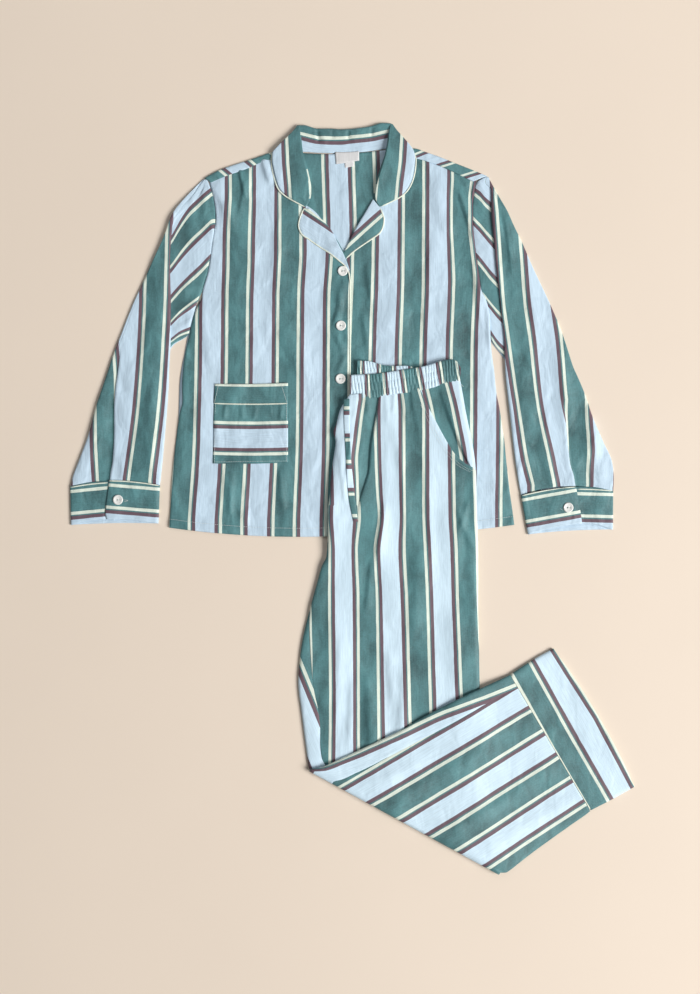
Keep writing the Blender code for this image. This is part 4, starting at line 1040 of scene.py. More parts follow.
# tuck at the cuff: its line, and how much cloth it hides, by y
TUCK_RIGHT = table(
    "y x hidden",
    (345, 122, 0), (371, 118.5, 3.4), (406, 114.8, 7.2), (443, 114.6, 13), (482, 110.3, 21),
)
TUCK_LEFT = table(
    "y x hidden",
    (400, 563, 0), (420, 565, 4), (450, 568, 11.5), (465, 570, 15.5), (487, 575, 19.7),
)
SLEEVE_STRIPES_RIGHT = (
    (180, 133, 158.5, 184),
    (250, 131, 156.5, 182.2),
    (300, 130, 155.3, 181),
    (340, 128.5, 153.4, 179),
    (400, 124.3, 149.3, 175),
    (480, 113.6, 139.5, 166.2),
)
SLEEVE_STRIPES_LEFT = (
    (200, 506, 532, 558),
    (250, 510, 536, 562),
    (300, 513.6, 539.8, 565.5),
    (340, 519, 545.5, 571.5),
    (400, 526.8, 551, 576),
    (460, 537.8, 565.2, 591.5),
    (485, 543.5, 569.8, 596),
)
# the same for the cap between the armhole and the pleat, where the stripes slope: x, then the
# y of successive middles
CAP_STRIPES_RIGHT = (
    (165, 262, 291, 322, 338, 352),
    (171.5, 254.5, 283.5, 313.5, 332.5, 348),
    (180, 241.5, 273.5, 304, 325, 343),
    (190, 228.5, 263, 294.5, 319.5, 340),
    (200, 219, 253, 286.5, 312, 336),
    (212, 208, 241, 273, 302, 330),
)
CAP_STRIPES_LEFT = (
    (466, 198, 229, 262, 292),
    (476, 209, 240.5, 274, 304),
    (480, 212.5, 245, 279, 308),
    (485, 218.5, 251, 285.5, 313.5),
    (490, 223.5, 257.5, 292, 319.5),
    (497, 231, 265, 299.5, 329),
    (506, 240, 274, 309, 338),
)
TUCK_COLUMN = 12  # number of the column that runs along the upper side of the tuck


def sleeve_net(rows, out, tuck_rows):
    """Sections of one sleeve, each from the armhole out to the pleat's valley, back to the inner
    fold, over the top to the outer fold, and back along the table. out is -1 or 1."""
    seam, inner, outer = rows["seam"] * out, rows["inner"] * out, rows["outer"] * out
    back, depth = rows["back"] * out, rows["depth"]
    cap, mid, top = rows["cap"], rows["mid"], rows["top"]
    valley = inner + depth
    turned = np.clip(depth / 2.0, -1.0, 1.0)
    width = outer - inner
    low_top = np.minimum(top, 2.6 + np.clip((26.0 - width) / 26.0, 0.0, 1.0) * 3.0)
    bend = np.minimum(1.0, width * 0.3)
    ground = np.full_like(outer, BACK_Z)
    # below the underarm the sleeve has no cap, so it starts at its seam
    open_here = (cap < 1.9) & (ease((2.3 - cap) / 0.6) * ease((2.5 - mid) / 1.5) > 0.5)
    level = low_top + 0.9 * np.clip(width / 14.0, 0.0, 1.0)
    top = np.where(top > level, level + 0.45 * (top - level), top)
    mid = np.minimum(mid, 0.5 * (cap + level) + 0.2)
    y_tuck = rows["y"] + rows["slope"] / 2
    y_held = np.clip(y_tuck, tuck_rows["y"][0], tuck_rows["y"][-1])
    line = smoothly(y_held, tuck_rows["y"], tuck_rows["x"]) * out
    share = (line - inner) / width
    known = y_tuck >= tuck_rows["y"][0]
    share = np.interp(y_held, y_held[known], share[known])
    tuck = inner + width * np.clip(share, 0.3, 0.93)
    started = ease(smoothly(y_held, tuck_rows["y"], tuck_rows["hidden"]) / 4.0)
    across = [
        (seam, np.maximum(cap - 0.9, 0.55)),
        (np.where(open_here, seam - 0.8, seam + 1.5 * np.clip((valley - seam) / 8, 0.1, 1)), cap),
        (np.where(open_here, seam - 1.6, seam * 0.55 + valley * 0.45), cap),
        (np.where(open_here, seam - 2.4, valley - 0.8), cap + 0.1),
        (np.where(open_here, seam - 3.2, valley), (cap + mid) / 2),
        (np.where(open_here, seam - 4.0, valley - turned), mid),
        (inner + turned * 0.8, mid + 0.2),
        (inner, mid * 0.55 + top * 0.45),
        (inner + 0.5 * np.clip(width / 4.0, 0.3, 1.0), top * 0.82 + mid * 0.18),
        (inner + 1.8 * np.clip(width / 9.0, 0.2, 1.0), top),
        (inner + 8.0 * np.clip(width / 20.0, 0.1, 1.0), top * 0.6 + level * 0.4),
        (inner * 0.3 + tuck * 0.7, top * 0.15 + level * 0.85),
        (tuck - 0.35, level + 0.9 * started),
        (tuck + 0.35, level - 0.9 * started),
        (tuck * 0.5 + outer * 0.5, level - 0.3 * started),
        (outer - 2.4 * np.clip(width / 14.0, 0.1, 1.0), level - 0.1),
        (outer - 0.35 * bend, level * 0.86),
        (outer, (level + BACK_Z) / 2 * 0.8),
        (outer - 0.5 * bend, ground),
        (outer * 0.6 + back * 0.4 - 2.0, ground),
        (back, ground),
    ]
    columns = []
    for place, z in across:
        share = np.clip((place - inner) / width, 0.0, 1.0)
        y = rows["y"] + rows["slope"] * share + rows["bow"] * arch(share) * (z > 1.5)
        columns.append((place * out, y, z))
    return net_of(*columns)


def sleeve_sheet(rows, out, tuck, main, first, cap, creases, seed):
    """One sleeve: its net with its folds, and its stripes, which skip what the tuck hides and
    have a slope of their own on the cap."""
    grid, at, x, y = fine(sleeve_net(rows, out, tuck), 1.7)
    on_top = ease((at - 7.5) / 1.5) * ease((16.5 - at) / 1.2)
    on_cap = (at < 3.2) * ease(at / 1.2)
    hidden = smoothly(np.clip(y, tuck["y"][0], tuck["y"][-1]), tuck["y"], tuck["hidden"])
    grid[..., 2] += on_top * (folds(x, y, creases) + unevenness(x, y, seed, 0.26, 2.0))
    grid[..., 2] += on_cap * folds(x, y, creases) * 0.6
    moved = x + out * hidden * (at > TUCK_COLUMN + 0.5)
    cap_place = np.abs(np.maximum(stripes(y, x, cap, 0), -1.25))
    sloping = (at < 4.5)[None] | ((y < 206) & (out < 0))
    place = np.where(sloping, cap_place, stripes(moved, y, main, first))
    grid[..., 2] = np.maximum(grid[..., 2], 0.45)
    return grid, place, y * SQUARE


# x1 y1 x2 y2 bow left right height
SLEEVE_RIGHT_FOLDS = (
    (205, 188, 204, 226, 0, 4, 3.5, 1.8),
    (192, 200, 202, 240, 2, 3, 5, -0.8),
    (178, 292, 199, 286, 0, 4, 3, 1.6),
    (172, 316, 197, 304, 1, 3, 4, 2.2),
    (176, 334, 194, 318, 0, 3, 4, 1.6),
    (196, 276, 190, 302, 0, 2, 3, -1.2),
    (160, 262, 150, 350, 4, 9, 8, 1.3),
    (146, 300, 128, 372, 3, 7, 9, -1),
    (163, 330, 150, 420, -4, 8, 7, 1.3),
    (132, 352, 120, 440, 3, 6, 8, 1.2),
    (104, 400, 90, 470, 0, 5, 7, 1.2),
    (142, 420, 130, 480, 0, 6, 7, 0.9),
    (155, 385, 150, 482, 0, 8, 6, 2.4),
    (98, 450, 92, 484, 0, 3, 4, -0.8),
    (122, 455, 124, 484, 0, 3, 4, 0.8),
    (138, 462, 141, 484, 0, 2.5, 3, 0.7),
    (84, 456, 80, 484, 0, 3, 3, 0.7),
)
SLEEVE_LEFT_FOLDS = (
    (478, 180, 488, 204, 0, 2.5, 4, 1.2),
    (504, 214, 512, 274, 1, 2.6, 8, 1.7),
    (499, 236, 510, 300, -2, 4, 6, -0.8),
    (519, 262, 536, 330, 2, 6, 9, 1.5),
    (530, 330, 540, 420, -5, 9, 10, 1),
    (558, 350, 570, 432, 1, 8, 6, 1.8),
    (590, 404, 588, 462, 3, 11, 8, 2.6),
    (515, 360, 524, 440, 3, 6, 8, 1.1),
    (540, 425, 552, 486, 0, 6, 7, 1.1),
    (592, 430, 602, 486, 0, 4, 5, 1.1),
    (583, 455, 588, 488, 0, 3, 4, -0.7),
    (528, 455, 534, 490, 0, 3, 4, 0.8),
    (556, 462, 560, 488, 0, 2.5, 3, -0.6),
)

CUFF_RIGHT = table(
    "flap_x flap_y a_x a_y b_x b_y under_x",
    (109.3, 481, 160, 485.3, 70.6, 486.2, 119),
    (108, 492, 159.6, 494.5, 70.7, 495.5, 117.7),
    (106.6, 503, 159.2, 504.6, 70.9, 505.5, 117),
    (105.8, 513, 158.9, 515, 71.1, 515.6, 116.2),
    (107.4, 519.2, 158.5, 523.5, 71.4, 525, 115.1),
)
CUFF_LEFT = table(
    "flap_x flap_y a_x a_y b_x b_y under_x",
    (575.4, 486.6, 520.9, 495.3, 612.7, 490.9, 566),
    (577, 495, 522.4, 504.5, 612.7, 499.6, 567.4),
    (578.8, 505, 524.2, 514.4, 612.6, 509.4, 569),
    (580.4, 514, 526, 524.5, 612.6, 519.4, 570.6),
    (581.6, 523.6, 528, 534.5, 612.5, 529.6, 573.1),
)


def cuff_net(rows, bow):
    """A band round the wrist pressed flat: flap, fold a, along the table, fold b, under end.
    bow is how far the middles of its upper and lower rows stand off a straight line."""

    def spot(a, b, share, z):
        return across_of(rows, a, b, share, z, bow)

    rows = dict(rows)
    rows["under_y"] = rows["flap_y"] * 0.8 + rows["b_y"] * 0.2
    return net_of(
        spot("flap", "a", 0.0, 4.5),
        spot("flap", "a", 0.04, 5.2),
        spot("flap", "a", 0.3, 5.6),
        spot("flap", "a", 0.6, 5.7),
        spot("flap", "a", 0.9, 5.2),
        inset_of(rows, "a", "flap", 0.8, 4.2),
        inset_of(rows, "a", "flap", 0.0, 2.5),
        inset_of(rows, "a", "flap", 1.0, 0.7),
        spot("a", "b", 0.4, 0.6),
        spot("a", "b", 0.8, 0.6),
        inset_of(rows, "b", "flap", 1.0, 0.7),
        inset_of(rows, "b", "flap", 0.0, 2.0),
        inset_of(rows, "b", "flap", 0.9, 3.4),
        spot("b", "flap", 0.5, 3.9),
        spot("b", "flap", 0.97, 3.6),
        (rows["under_x"], rows["under_y"], 3.2),
    )


def build_sleeves():
    for side, rows, out, tuck, main, first, cap, creases, seed, width, area in (
        (
            "right", SLEEVE_RIGHT, -1, TUCK_RIGHT, SLEEVE_STRIPES_RIGHT, -1,
            CAP_STRIPES_RIGHT, SLEEVE_RIGHT_FOLDS, 31, 0.22, 0.1,
        ),
        (
            "left", SLEEVE_LEFT, 1, TUCK_LEFT, SLEEVE_STRIPES_LEFT, 0,
            CAP_STRIPES_LEFT, SLEEVE_LEFT_FOLDS, 32, 0.25, 0.112,
        ),
    ):
        sheet = sleeve_sheet(rows, out, tuck, main, first, cap, creases, seed)
        made = cloth(f"sleeve_{side}_cloth", [sheet])
        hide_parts("sleeve_" + side)


def build_cuffs():
    """The two cuffs. A stripe's place is its distance from the green stripe's middle."""
    # the green stripe's middle runs from point to point on the flap, then on the end under it
    for side, rows, bow, flap, under in (
        ("right", CUFF_RIGHT, -1.2, ((107, 495.9), (160, 500.3)), ((70, 502.7), (119, 497.8))),
        ("left", CUFF_LEFT, -1.5, ((521, 511.3), (583, 500)), ((566, 504.4), (613, 505.7))),
    ):
        grid, at, x, y = fine(cuff_net(rows, bow), 1.5)
        green = np.where(at < 8, np.interp(x, *zip(*flap)), np.interp(x, *zip(*under)))
        # the seam cuts the upper stripe off inside its thin green line
        place = np.maximum((y - green) / (1.08 * HALF), -0.495)
        flat = (at < 4.2) | ((at > 12.2) & (at < 14))
        grid[..., 2] += flat * unevenness(x, y, 41, 0.16)
        made = cloth(f"cuff_{side}_cloth", [(grid, place, x * SQUARE)])
        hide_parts("cuff_" + side)


# ---------------- pocket and label


def pocket_sag(x):
    """How far down the lines across the pocket hang between its sides."""
    return 0.8 * arch((x - 214) / 74)


def build_pocket():
    """The pocket lies on the right front and the band is sewn along its top."""
    rows = table(
        "left_x left_y right_x right_y",
        (214, 402.5, 288, 402.5),
        (213.8, 420, 288, 420),
        (213.5, 440, 288, 440),
        (213, 463.4, 288, 462.4),
    )
    shares = (0, 0.2, 0.4, 0.6, 0.8, 1)
    pocket = even_net(rows, "left", "right", shares, 0.0, 0.8)
    rows = table("left_x left_y right_x right_y", (215, 384, 288, 382.8), (214, 402.9, 288, 402.9))
    rows = {k: np.linspace(v[0], v[1], 4) for k, v in rows.items()}
    band = even_net(rows, "left", "right", shares, 0.0, 0.8)
    puckers = (
        (226, 404, 224, 420, 0, 1.6, 2.4, 1),
        (241, 405, 243, 419, 0, 1.6, 2.4, 0.9),
        (256, 405, 254, 420, 0, 1.6, 2.6, 0.9),
        (270, 405, 271, 416, 0, 1.6, 2.2, 0.5),
        (282, 404, 280, 420, 0, 1.5, 2.4, 1),
        (233, 420, 236, 452, 2, 5, 7, 0.6),
        (268, 418, 262, 455, 2, 6, 7, 0.7),
        (216, 412, 219, 452, 0, 2.5, 4, 0.6),
    )
    for name, net, rise, green, flat in (
        ("chest_pocket", pocket, 1.0, 411.9, (0.12, 0.1)),
        ("pocket_band", band, 1.6, 395.2, (0.118, 0.034)),
    ):
        grid, _, x, y = fine(net, 1.4)
        edge = np.minimum(x - x[:, :1], x[:, -1:] - x)
        foot = np.minimum(edge, np.where(y > 430, y[-1:] - y, 9.0))
        z = right_front_z(x, y) + rise + 0.35 * ease(foot / 2) + folds(x, y, puckers)
        grid[..., 2] = z - 0.45 * (1 - ease(foot / 0.8))
        place = (y - pocket_sag(x) - green) / 26.0
        made = cloth(name + "_cloth", [(grid, place, x * SQUARE)])
        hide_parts(name)


def tape(name, net):
    """A small sheet of woven label tape."""
    grid = fine(net, 1.5)[0]
    faces = grid_faces(*grid.shape[:2], 0, False)[:, ::-1]
    return walled(put_mesh(name, metres(grid).reshape(-1, 3), faces, TAPE), 0.4)


def build_label():
    """A bare woven label at the neck seam with a small tab below it, sewn down at its ends."""
    net = net_of(
        ([335, 335.5, 336], [152.4, 158.4, 164.6], [3.2, 2.9, 2.7]),
        ([341, 341.3, 341.6], [152.6, 158.3, 164], [3.3, 3.3, 3.0]),
        ([347, 347.1, 347.2], [152.5, 157.8, 163], [3.3, 3.2, 2.9]),
        ([353, 353, 353], [152.2, 157.2, 162], [3.3, 3.3, 3.0]),
        ([359, 359.1, 359.2], [151.6, 156.4, 161], [3.2, 2.9, 2.7]),
    )
    label = tape("neck_label_tape", net)
    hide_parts("neck_label")
    net = net_of(
        ([344, 344.5, 345], [160.5, 164.5, 168.2], [2.5, 2.4, 2.3]),
        ([353.6, 353.8, 354], [160, 163.4, 166.6], [2.5, 2.4, 2.3]),
    )
    tab = tape("neck_label_tab", net)


# ---------------- trousers

LAID = 5.4  # mm, how much higher the trousers lie on the jacket than on the table
DOWN_Y = 584  # where they have come down from the jacket's hem to the table
SKIN = 5.0  # middle of the visible cloth above what the trousers rest on
TURNED_UP = 7.4  # how high the turned-up leg lies over the leg below
FOLD_START = (311.2, 767.5)  # axis of the fold, on the chart
FOLD_END = (499.6, 869.8)
FOLD_AWAY = (-0.477, 0.879)  # square to it, away from the leg
FOLD_Z = 6.2  # height of the axis
FOLD_R = 5.4  # radius of the visible cloth about it


def lift(y):
    """How far the layers of the leg lie above the table: up on the jacket, down past its hem."""
    return LAID * ease((DOWN_Y - np.asarray(y, float)) / 50)


def leg_side(y):
    """Right side of the leg below, where the turned-up leg comes down to the table."""
    return 479.6 + np.maximum(0.0, np.asarray(y, float) - 690) * 0.1


def turned_up_lift(x, y):
    """Underside of the turned-up leg: on the other leg, then down to the table."""
    return TURNED_UP * (1 - ease((x - leg_side(y) + 22) / 76))


def underside(x, y):
    """The lowest the trousers' layers may be: on the button stand, the left front or the table."""
    over = 6.9 - 3.3 * ease((x - 346) / 14)
    return 0.5 + (over - 0.5) * ease((DOWN_Y - y) / 46)


# the leg from the waist to the fold, for its hidden layers
LAYERS_UPPER = table(
    "left_x left_y right_x right_y",
    (354, 381, 455, 366),
    (352, 397, 458, 381),
    (341, 409, 461.5, 396),
    (336, 426, 467, 424),
    (335, 447, 471, 447),
    (332, 470, 474, 470),
    (329.5, 498, 475, 498),
    (328, 537, 476, 537),
    (319, 579, 477, 579),
    (312.5, 603, 477, 603),
    (303.5, 637, 477.5, 639),
    (299.8, 672, 478, 670),
    (300, 692, 478.5, 693),
    (301.5, 707, 480, 724),
    (304, 724, 482.5, 759),
    (306.5, 743, 486.5, 801),
    (309.3, 757, 491, 839),
)
# the turned-up leg from the fold to its hem band
TURNED_LEG = table(
    "top_x top_y seam_x seam_y bottom_x bottom_y",
    (311.2, 767.5, 333.7, 779.7, 500, 870.5),
    (320, 766.6, 341.6, 777.9, 504.5, 871.2),
    (336.8, 759.5, 356.7, 771.1, 509.8, 868.5),
    (352.6, 752.2, 370.8, 764.4, 515.7, 864),
    (368, 744.9, 384.5, 757.2, 522.6, 858.8),
    (384.3, 737.1, 399.2, 749.6, 529.6, 853.7),
    (400.2, 729.5, 413.7, 742, 536.6, 848.6),
    (415.3, 720.8, 428.4, 734.4, 543.6, 843.6),
    (430.5, 712.1, 443.2, 726.6, 550.7, 838.7),
    (444.2, 705, 456.1, 719.5, 557.7, 833.7),
    (459.2, 697.6, 469.8, 711.7, 564.8, 828.7),
    (474.2, 690.5, 483.7, 703.9, 571.8, 823.6),
    (488.5, 684.2, 496.9, 697.1, 578.9, 818.7),
    (502.4, 678, 509.8, 690.1, 584.8, 814.6),
    (509.9, 674.6, 517.1, 686.9, 589.8, 810.6),
)
LEG_HEM = table(
    "top_x top_y bottom_x bottom_y bow",
    (510.3, 674.3, 590.2, 810, 0),
    (518.5, 668.7, 599, 805.3, 0.8),
    (529.5, 661.7, 610, 799.5, 1.6),
    (541, 654.9, 622.2, 793, 2.8),
    (550.3, 649.9, 630.8, 788.4, 3.8),
    (553.1, 648.4, 634.2, 786.4, 4.3),
)


def build_hidden_layers():
    """The layers inside the folded leg: three sheets, one over the other, that run from the
    waist to the fold, round it, and up to the hem."""
    sheets = []
    axis = np.array([FOLD_START, FOLD_END])
    away = np.array(FOLD_AWAY)
    shares = np.linspace(0, 1, 15)
    for level, inset in ((0.0, 2.6), (0.5, 1.6), (1.0, 2.2)):
        upper = even_net(LAYERS_UPPER, "left", "right", shares)
        low = underside(upper[..., 0], upper[..., 1])
        high = lift(upper[..., 1]) + SKIN - 2.1
        upper[..., 2] = np.minimum(low, high - 0.8) * (1 - level) + high * level
        turns = []
        reach = 4.2 - 2.6 * level
        line = axis[0] + (axis[1] - axis[0]) * shares[:, None]
        for turn in np.radians((0, 30, 60, 90, 120, 150, 180)):
            spots = line + away * (0.3 + reach / SQUARE * np.sin(turn))
            height = np.full(len(shares), FOLD_Z - reach * np.cos(turn))
            turns.append(np.column_stack([spots, height]))
        if level == 1.0:
            turns = turns[:3] + turns[4:]
        rows = {k: v[1:] for k, v in TURNED_LEG.items()}
        lower = even_net(rows, "top", "bottom", shares)
        rows = {k: v[1:5] for k, v in LEG_HEM.items()}
        band = even_net(rows, "top", "bottom", shares)
        lower = np.concatenate([lower, band])
        base = turned_up_lift(lower[..., 0], lower[..., 1])
        lower[..., 2] = base + 0.7 + 2.1 * (1 - level)
        net = np.concatenate([upper, np.array(turns), lower])
        middle = net[:, 7:8]
        reach_across = np.maximum(np.linalg.norm((net - middle)[..., :2], axis=2), 1e-6)
        squeeze = 1 - inset / reach_across.max(axis=1, keepdims=True)
        net[..., :2] = middle[..., :2] + (net - middle)[..., :2] * squeeze[..., None]
        down = lengths(net, 0)
        at = spans(down, 5.0, 1)
        grid = smoothly(at, down, net)
        place = np.broadcast_to(shares * 6.0 - 1.0, grid.shape[:2])
        along = np.broadcast_to(at[:, None] * SQUARE, grid.shape[:2])
        sheets.append((grid, place, along))
    made = cloth("trousers_inner_layers", sheets, 0.8)
    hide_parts("trousers_hidden_layers")


LEG_FRONT = table(
    "left_x left_y right_x right_y wrap_l wrap_r fold_x fold mouth",
    (350, 395, 419, 388.5, 0, 0, 379.6, 2, 1),
    (344.4, 403, 424.4, 400.4, 0.6, 0, 378.6, 3, 1),
    (340.4, 410, 430, 412, 1, 0, 377.4, 3.4, 1),
    (336.4, 424, 437, 425, 1, 0, 374.8, 3.6, 1),
    (333.6, 432, 441, 432.5, 1, 0, 373.4, 3.6, 1),
    (335.8, 442, 446, 441.5, 1, 0, 371.6, 3.5, 1),
    (334.4, 454, 454, 454, 1, 0, 370.4, 3.2, 1),
    (332.6, 465, 464.5, 463.6, 1, 0, 369.6, 3, 1),
    (331.8, 472, 474.9, 470.2, 1, 0.3, 369, 2.8, 0.8),
    (330.6, 485, 475.6, 485, 1, 1, 365, 2.2, 0),
    (329.2, 500, 476, 500, 1, 1, 360.5, 1.4, 0),
    (328, 512, 476.3, 512, 1, 1, 359, 0.6, 0),
    (328, 535, 477.2, 535, 1, 1, 359, 0, 0),
    (326.6, 556, 477.8, 556, 1, 1, 359, 0, 0),
    (322, 566, 477.9, 566, 1, 1, 359, 0, 0),
    (318, 580, 478, 580, 1, 1, 359, 0, 0),
    (313.6, 596, 477.7, 596, 1, 1, 359, 0, 0),
    (310, 611, 477.8, 611, 0.7, 1, 359, 0, 0),
    (309.6, 625, 478.2, 625, 0, 1, 359, 0, 0),
    (310.2, 643, 478.6, 643, 0, 1, 359, 0, 0),
    (311.9, 670, 479, 670, 0, 1, 359, 0, 0),
    (314, 692, 479.6, 693, 0, 1, 359, 0, 0),
    (316.2, 710, 481, 724, 0, 1, 359, 0, 0),
    (318.6, 728, 483.5, 760, 0, 1, 359, 0, 0),
    (320.6, 748, 487.3, 802, 0, 1, 359, 0, 0),
    (322.6, 762, 491.9, 840, 0, 1, 359, 0, 0),
)
STRIPES_LEFT_OF_FOLD = (
    (400, 349.5, 374),
    (420, 346.5, 371),
    (440, 344, 368.6),
    (460, 342, 366.6),
    (480, 342.7, 367.2),
    (505, 343.3, 368),
)
LEG_STRIPES = (
    (390, 343, 365.5, 389.8, 409.5, 431, 456),
    (412, 343, 365.2, 389.2, 413.5, 437.5, 462.3),
    (460, 343, 366.4, 389.8, 413.2, 438, 463),
    (495, 343.2, 368.4, 391, 413, 438.2, 464),
    (515, 343.2, 370.3, 391.6, 413.2, 438.4, 464.4),
    (550, 343.2, 365.6, 388.6, 414.5, 440.4, 466.2),
    (600, 343.8, 367.8, 390.8, 417.2, 442.2, 467.5),
    (700, 344.5, 368, 393.8, 419.8, 445.5, 472),
    (840, 343.5, 369, 396.5, 424, 451, 479),
)
LEG_FOLDS = (
    (386, 402, 380, 560, 4, 5, 9, 1.1),
    (392, 398, 402, 470, -3, 5, 7, 0.8),
    (412, 396, 420, 450, 2, 4, 6, 0.8),
    (352, 402, 346, 448, 2, 6, 7, 1.1),
    (342, 448, 338, 500, 0, 5, 8, 0.8),
    (418, 540, 414, 640, 2, 7, 13, 1.6),
    (404, 560, 402, 640, 0, 6, 7, -0.6),
    (446, 500, 452, 590, -3, 8, 12, 1),
    (473, 540, 474, 660, 0, 8, 4, 1.3),
    (466, 472, 462, 565, 2, 5, 6, -0.9),
    (368, 672, 372, 752, 0, 5, 10, 2),
    (388, 650, 393, 704, 0, 3, 7, 1.1),
    (356, 640, 350, 735, 0, 7, 9, -0.6),
    (336, 560, 326, 700, 4, 9, 10, 1.1),
    (410, 660, 436, 730, 0, 10, 14, 1),
    (352, 430, 346, 482, 0, 2, 4.5, 1.3),
    (340, 455, 345, 502, 0, 2, 4, 1.1),
    (398, 440, 404, 520, 0, 3, 6, 1),
    (425, 470, 431, 560, 0, 3, 7, 1.1),
    (455, 505, 471, 546, 0, 2.5, 4, 1.4),
    (468, 500, 458, 532, 0, 2.2, 4, 1.2),
    (384, 503, 376, 560, 0, 2, 5, 1.7),
    (372, 560, 366, 612, 0, 2.5, 5, 1.2),
    (340, 640, 336, 722, 0, 3, 6, 1.1),
    (352, 680, 349, 746, 0, 3, 6, 1.1),
    (405, 668, 400, 738, 0, 4, 7, 1.4),
    (455, 610, 460, 690, 0, 9, 9, 0.8),
    (380, 520, 396, 620, -3, 10, 13, 0.8),
    (330, 512, 346, 520, 0, 4, 4, 0.6),
    (357, 394, 355, 420, 0, 2.5, 3.5, 0.8),
    (366, 394, 368, 416, 0, 2, 3, 0.8),
    (385, 392, 387, 424, 0, 2, 3, 0.8),
    (394, 391, 393, 414, 0, 2, 3, 0.7),
    (403, 390, 406, 426, 0, 2.5, 3.5, 0.9),
    (411, 389, 413, 412, 0, 2, 3, 0.7),
)


def leg_front_z(x, y):
    """Upper surface of the leg: its lift, the cloth, a fuller side on the left, and its folds."""
    left = np.interp(y, LEG_FRONT["left_y"], LEG_FRONT["left_x"])
    inward = x - left
    full = 2.3 * np.exp(-(((inward - 5) / 9) ** 2)) * ease((640 - y) / 70)
    form = folds(x, y, LEG_FOLDS) + unevenness(x, y, 51, 0.32, 2.2)
    return lift(y) + SKIN + 0.5 + full + np.maximum(form, -1.5 + 0.1 * form)


def build_leg_front():
    """The front panel: down round the layers at its left side, over the pressed fold that hides
    some cloth, to the pocket's mouth or down round the right side."""
    rows = LEG_FRONT
    wrap_l, wrap_r, mouth = rows["wrap_l"], rows["wrap_r"], rows["mouth"]
    fold_x, reach = rows["fold_x"], rows["right_x"] - rows["left_x"]
    near = (fold_x - rows["left_x"]) / reach

    net = net_between(
        rows, "left", "right",
        ("in", 0.9, -4.0 * wrap_l - 0.6 * (1 - wrap_l)),
        ("in", 0.0, -2.9 * wrap_l - 0.5 * (1 - wrap_l)),
        ("in", 0.35, -1.6 * wrap_l - 0.2 * (1 - wrap_l)),
        ("in", 1.6, -0.45 * wrap_l),
        ("in", 3.8, 0.0),
        ("at", near * 0.3 + 2.0 / reach, 0.0),
        ("at", near * 0.65, 0.0),
        ("at", near - 5.0 / reach, -0.45 * rows["fold"]),
        ("at", near - 1.0 / reach, -0.62 * rows["fold"]),
        ("at", near - 0.3 / reach, 0.1 * rows["fold"]),
        ("at", near + 1.2 / reach, 0.5 * rows["fold"]),
        ("at", near + 5.0 / reach, 0.4 * rows["fold"]),
        ("at", near + 12.0 / reach, 0.12 * rows["fold"]),
        ("at", near * 0.6 + 0.4, 0.0),
        ("at", near * 0.3 + 0.7, 0.0),
        ("in", -9.0, 0.9 * mouth),
        ("in", -3.8, 1.5 * mouth),
        ("in", -1.6, 1.5 * mouth - 0.45 * wrap_r),
        ("in", -0.35, 1.1 * mouth - 1.6 * wrap_r),
        ("at", 1.0, 0.3 * mouth - 2.9 * wrap_r),
        ("in", -1.2, -0.8 * mouth - 4.4 * wrap_r),
    )
    grid, at, x, y = fine(net, 1.7)
    grid[..., 2] += leg_front_z(x, y) - ease((y - 740) / 60)
    down = ease((y - 752 - 0.45 * np.maximum(x - 322, 0)) / 14)
    grid[..., 2] = np.maximum(grid[..., 2] * (1 - 0.35 * down), 0.6)
    left_of_fold = (at < 8.6)[None] & (y < 505)
    left_place = stripes(x, y, STRIPES_LEFT_OF_FOLD, -1)
    place = np.where(left_of_fold, left_place, stripes(x, y, LEG_STRIPES, -1))
    made = cloth("trouser_leg_front_cloth", [(grid, place, y * SQUARE)])
    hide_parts("trouser_leg_front")


LEG_BACK = table(
    "left_x left_y seam_x seam_y",
    (309.9, 610, 310.6, 612),
    (307.2, 620, 310.4, 622),
    (303.4, 636, 310.5, 639),
    (301, 650, 311, 654),
    (299.4, 666, 312.2, 669),
    (298.5, 681, 313.6, 684),
    (299.2, 693, 314.8, 696),
    (301, 706, 316.4, 709),
    (303, 722, 318.4, 726),
    (305.6, 742, 321, 747),
    (308.2, 762, 323.4, 764),
    (308.9, 767, 324.6, 769),
    (310.4, 770.6, 327, 774),
)


def build_leg_back():
    """The strip of the back panel that shows beside the seam at the leg's lower left."""
    net = net_between(
        LEG_BACK, "left", "seam",
        ("in", 1.4, 0.9),
        ("in", 0.0, 1.9),
        ("in", 0.6, 3.6),
        ("in", 2.6, 4.8),
        ("at", 0.6, 5.1),
        ("at", 1.0, 4.7),
        ("at", 1.12, 4.2),
    )
    grid, _, x, y = fine(net, 1.5)
    slid = x - 0.41 * (y - 690)
    place = np.maximum(0.406 + (312.3 - slid) / 33, 0.0)
    made = cloth("trouser_leg_back_cloth", [(grid, place, y * SQUARE)])
    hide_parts("trouser_leg_back")


POCKET_SIDE = table(
    "left_x left_y right_x right_y low",
    (413, 391, 459, 377, 0),
    (419, 405, 462.6, 396, 0.9),
    (426, 415, 465.4, 412, 1.2),
    (432, 426, 467.8, 424, 1.3),
    (440, 439, 470.8, 438.6, 1.3),
    (450, 453, 473.4, 453, 1.2),
    (463, 466, 474.9, 466, 0.8),
    (470, 473, 475.2, 472.8, 0.3),
)


